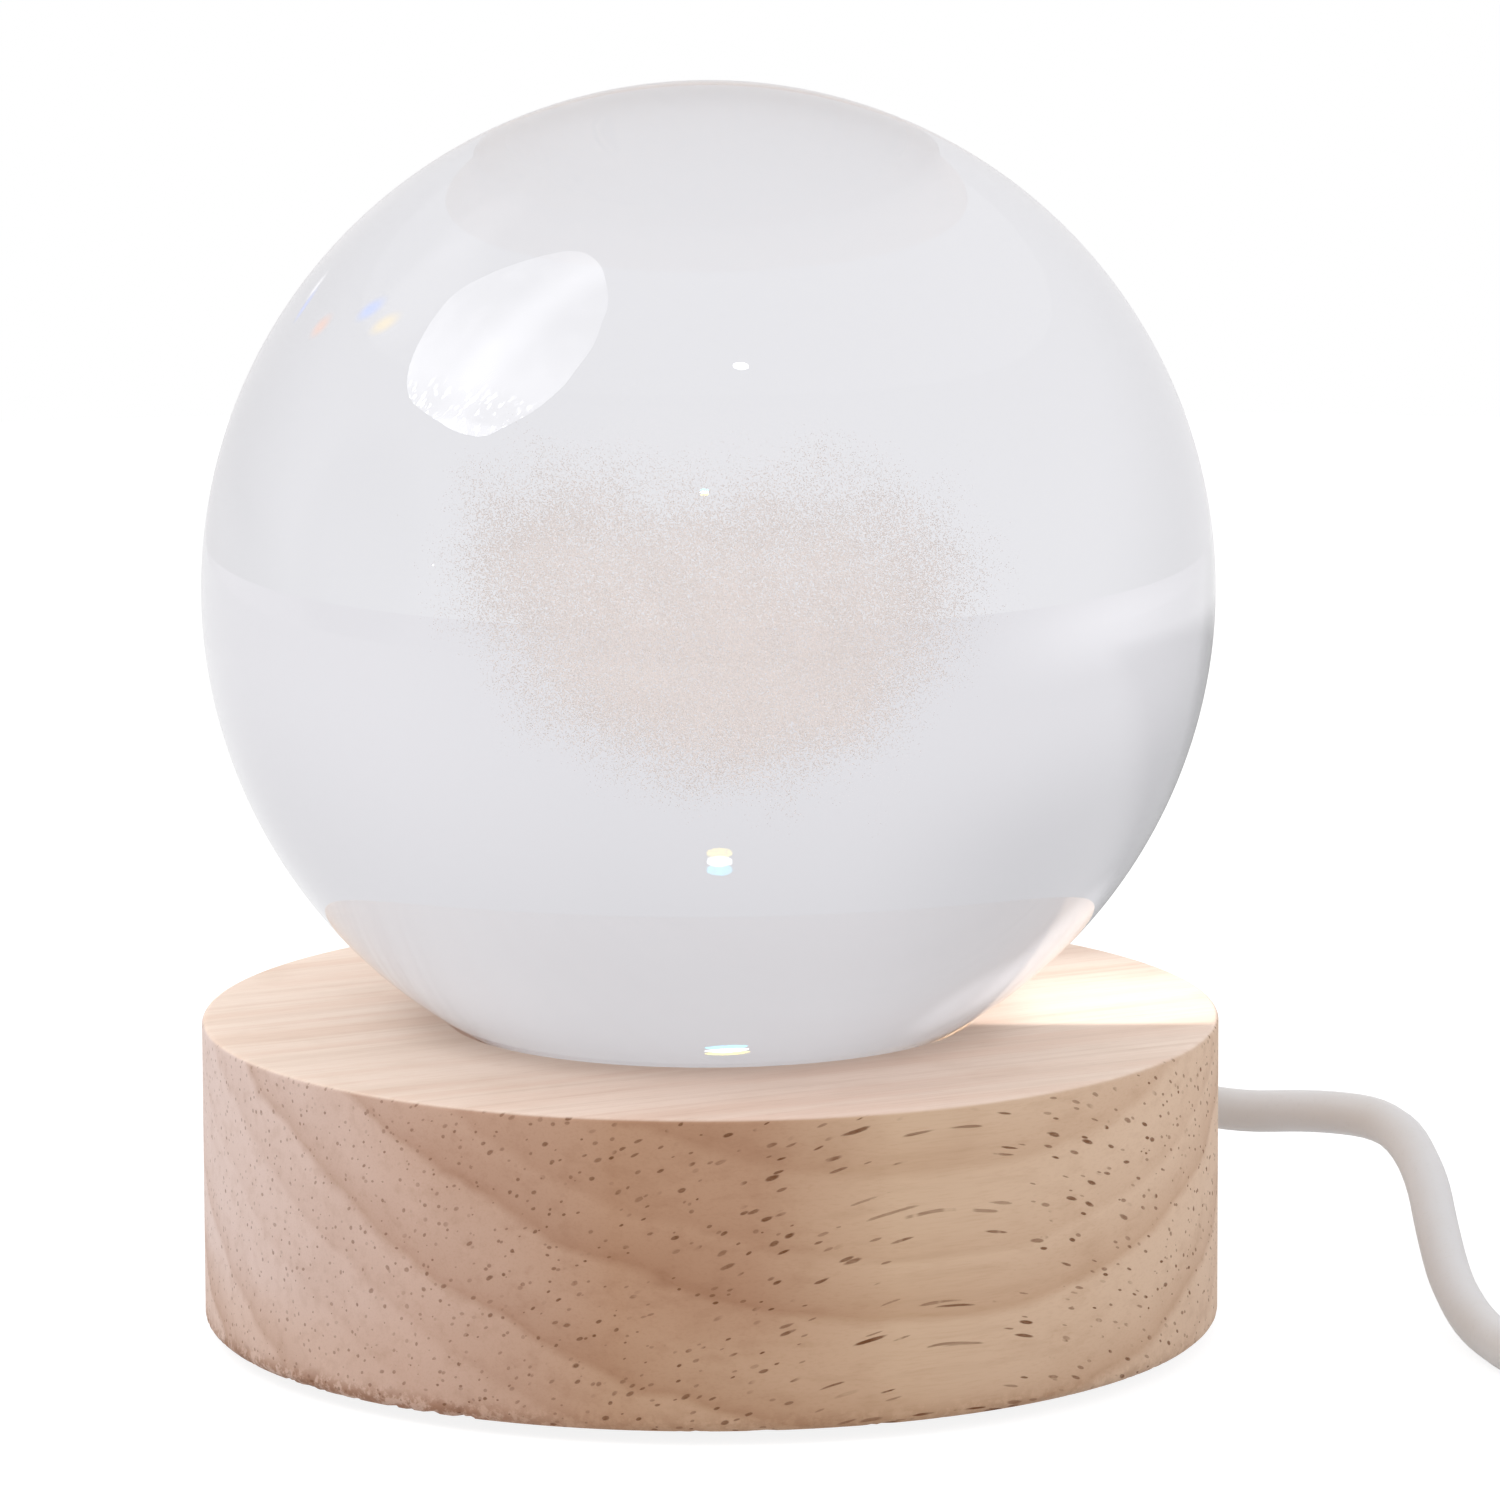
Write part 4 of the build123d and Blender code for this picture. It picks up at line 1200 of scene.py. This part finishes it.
def window_card():
    """What the ball mirrors of the window: a soft bright pane with flakes along its lower edge."""
    clear_selection()
    bpy.ops.mesh.primitive_circle_add(vertices=len(WINDOW_OUTLINE), radius=0.2, fill_type="NGON")
    card = named("window_card")
    for vertex, (across, upward) in zip(card.data.vertices, WINDOW_OUTLINE):
        vertex.co = (across, upward, 0)
    apply_modifier(card, "BEVEL", affect="VERTICES", width=0.035, segments=4)
    aim = direction(*WINDOW_AIM)
    right = aim.cross(Vector((0, 0, 1))).normalized()
    turn = Matrix((right, right.cross(aim), aim)).transposed().to_4x4()
    card.matrix_world = Matrix.Translation(BALL_CENTRE + aim * CARD_DISTANCE) @ turn
    material, place = new_material("window_glow", 1)
    across, upward = place.part("X"), place.part("Y")
    slanted = upward + across * 0.35
    core = (across + 0.02 - upward * 0.18).bump_at(0.0, 0.10) * 1.5
    low = 1.0 - slanted.smooth(-0.19, -0.10)
    grains = 1.0 - place.placed((62, 34, 1), (0, 0, 0.5)).cells(1.0).smooth(0.30, 0.48)
    flakes = place.placed((44, 30, 20), (0, 0, 0.5)).cloud(1.0, 4.0, 0.7).smooth(0.47, 0.52) * grains
    rim = 1.0 - slanted.smooth(-0.235, -0.215)
    edge = place.placed((14, 14, 14)).cloud(1.0, 4.0, 0.6)
    body = 2.0 + core + edge.smooth(0.45, 0.65) * 0.4 + (1.0 - slanted.smooth(-0.16, 0.14)) * 1.8
    strength = body * (1.0 - low * 0.25) + low * flakes * 7.0 + rim * 1.5
    glow = place.node("Emission", None, {"Color": (0.97, 0.97, 1.0, 1), "Strength": strength})
    place.node("OutputMaterial", None, {"Surface": glow})
    give(card, material)
    only_shown(card, "glossy")


# Glowing discs of painted light on the table, seen only through the glass
def light_flecks():
    for index, ((across, back), length, width, turn, colour) in enumerate(LIGHT_FLECKS):
        clear_selection()
        bpy.ops.mesh.primitive_circle_add(
            vertices=24, radius=0.5, fill_type="NGON", rotation=(0, 0, math.radians(turn)),
            location=(across * MM, back * MM, (0.2 + 0.05 * index) * MM),
        )
        fleck = named("light_fleck_" + str(index + 1))
        fleck.scale = (length * MM, width * MM, 1)
        material, place = new_material(fleck.name, 1)
        cover = 1.0 - place.from_axis().smooth(0.05, 0.5)
        clear = place.node("BsdfTransparent")
        glow = place.node("Emission", None, {"Color": solid(colour), "Strength": 1.0})
        soft = place.node("MixShader", None, {0: cover, 1: clear, 2: glow})
        place.node("OutputMaterial", None, {"Surface": soft})
        give(fleck, material)
        only_shown(fleck, "transmission")


def collection_of(name, *things):
    made = bpy.data.collections.new(name)
    for thing in things:
        made.objects.link(bpy.data.objects[thing])
    return made


def gathered_light(context, past_glass):
    """Light that the ball gathers on the wood, with a straight front edge."""
    front = Vector((POOL_FRONT[0] * MM, POOL_FRONT[1] * MM, WOOD_HIGH.z))
    high = front + direction(*POOL_AIM) * POOL_DISTANCE
    pool = add_lamp(context, "gathered_light", "SPOT", high, front, POOL_WATTS, (1.0, 1.0, 0.99))
    pool.data.spot_size = POOL_SPREAD
    pool.data.spot_blend = 1.0
    pool.data.shadow_soft_size = 0.0005
    pool.light_linking.blocker_collection = past_glass
    pool.light_linking.receiver_collection = collection_of("wood_only", "turned_base")
    pool.data.use_nodes = True
    pool.data.node_tree.nodes.clear()
    start = Signal(pool.data.node_tree)
    ray = start.node("TexCoord", None, None, "Normal")
    through = start.node("LightPath", None, None, "Transmission Depth").clamped()
    behind_edge = (ray.part("X") / ray.part("Z") * -1.0).smooth(-0.0015, 0.0025)
    glow = start.node("Emission", None, {
        "Color": (1, 1, 1, 1), "Strength": behind_edge * (1.0 - through * 0.28),
    })
    start.node("OutputLight", None, {"Surface": glow})


class LAMP_OT_stage(bpy.types.Operator):
    """Adds the floor, the white surroundings and the soft light"""

    bl_idname = "lamp.stage"
    bl_label = "Stage"

    def execute(self, context):
        studio = context.scene.lamp_studio
        context.scene.view_settings.view_transform = "Standard"
        white_room(context.scene, studio.fill)
        white_floor(studio.floor_radius)
        window_card()
        light_flecks()

        # The photograph's ball shows nothing of the loose cord and what is on it
        loose = [bpy.data.objects["lamp_cord"], bpy.data.objects["coil_strap"]]
        loose += [node for name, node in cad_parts.items() if name.startswith(("switch_", "plug_"))]
        for thing in loose:
            thing.visible_transmission = False
            thing.visible_glossy = False

        # Window light: one share stops at the glass, the rest goes through it
        past_glass = collection_of("past_glass", "glass_ball", *CLOUD_NAMES)
        for entry in past_glass.collection_objects:
            entry.light_linking.link_state = "EXCLUDE"
        shares = (("window_light", WINDOW_STOPPED), ("window_light_through", 1 - WINDOW_STOPPED))
        for name, share in shares:
            window = area_lamp(
                context, name, WINDOW_AIM, WINDOW_DISTANCE, WINDOW_SIDES,
                studio.window_power * share, (1.0, 0.985, 0.97),
            )
            window.visible_glossy = False
            window.visible_transmission = False
            if name.endswith("through"):
                window.light_linking.blocker_collection = past_glass
        gathered_light(context, past_glass)

        # Small lamps that the ball shows as points, one of them split into colours
        for name, azimuth, elevation, sides, power, colour in POINT_LAMPS:
            aim = (azimuth, elevation)
            watts = power * studio.glint_power
            small = area_lamp(context, "point_" + name, aim, 1.0, sides, watts, colour)
            small.data.shape = "ELLIPSE"
            small.visible_diffuse = False
        return {"FINISHED"}


class LAMP_PT_panel(bpy.types.Panel):
    """Lists the lamp's pieces and their settings"""

    bl_idname = "LAMP_PT_panel"
    bl_label = "Crystal Ball Lamp"
    bl_space_type = "VIEW_3D"
    bl_region_type = "UI"
    bl_category = "Lamp"

    def draw(self, context):
        for group in (getattr(context.scene, name) for name in GROUPS):
            box = self.layout.box()
            for name in group.__annotations__:
                box.prop(group, name)
        for step in STEPS:
            self.layout.operator(step.bl_idname)


STEPS = (
    LAMP_OT_camera,
    LAMP_OT_cord,
    LAMP_OT_ball,
    LAMP_OT_engraving,
    LAMP_OT_base,
    LAMP_OT_strap,
    LAMP_OT_fittings,
    LAMP_OT_stage,
)
GROUPS = {"lamp_sizes": LampSizes, "lamp_colours": LampColours, "lamp_studio": LampStudio}


def register():
    for kind in (*GROUPS.values(), *STEPS, LAMP_PT_panel):
        bpy.utils.register_class(kind)
    for name, kind in GROUPS.items():
        setattr(bpy.types.Scene, name, PointerProperty(type=kind))


def unregister():
    for name in GROUPS:
        delattr(bpy.types.Scene, name)
    for kind in (LAMP_PT_panel, *reversed(STEPS), *GROUPS.values()):
        bpy.utils.unregister_class(kind)


def main():
    register()
    for step in STEPS:
        family, name = step.bl_idname.split(".")
        getattr(getattr(bpy.ops, family), name)()


if __name__ == "__main__":
    main()
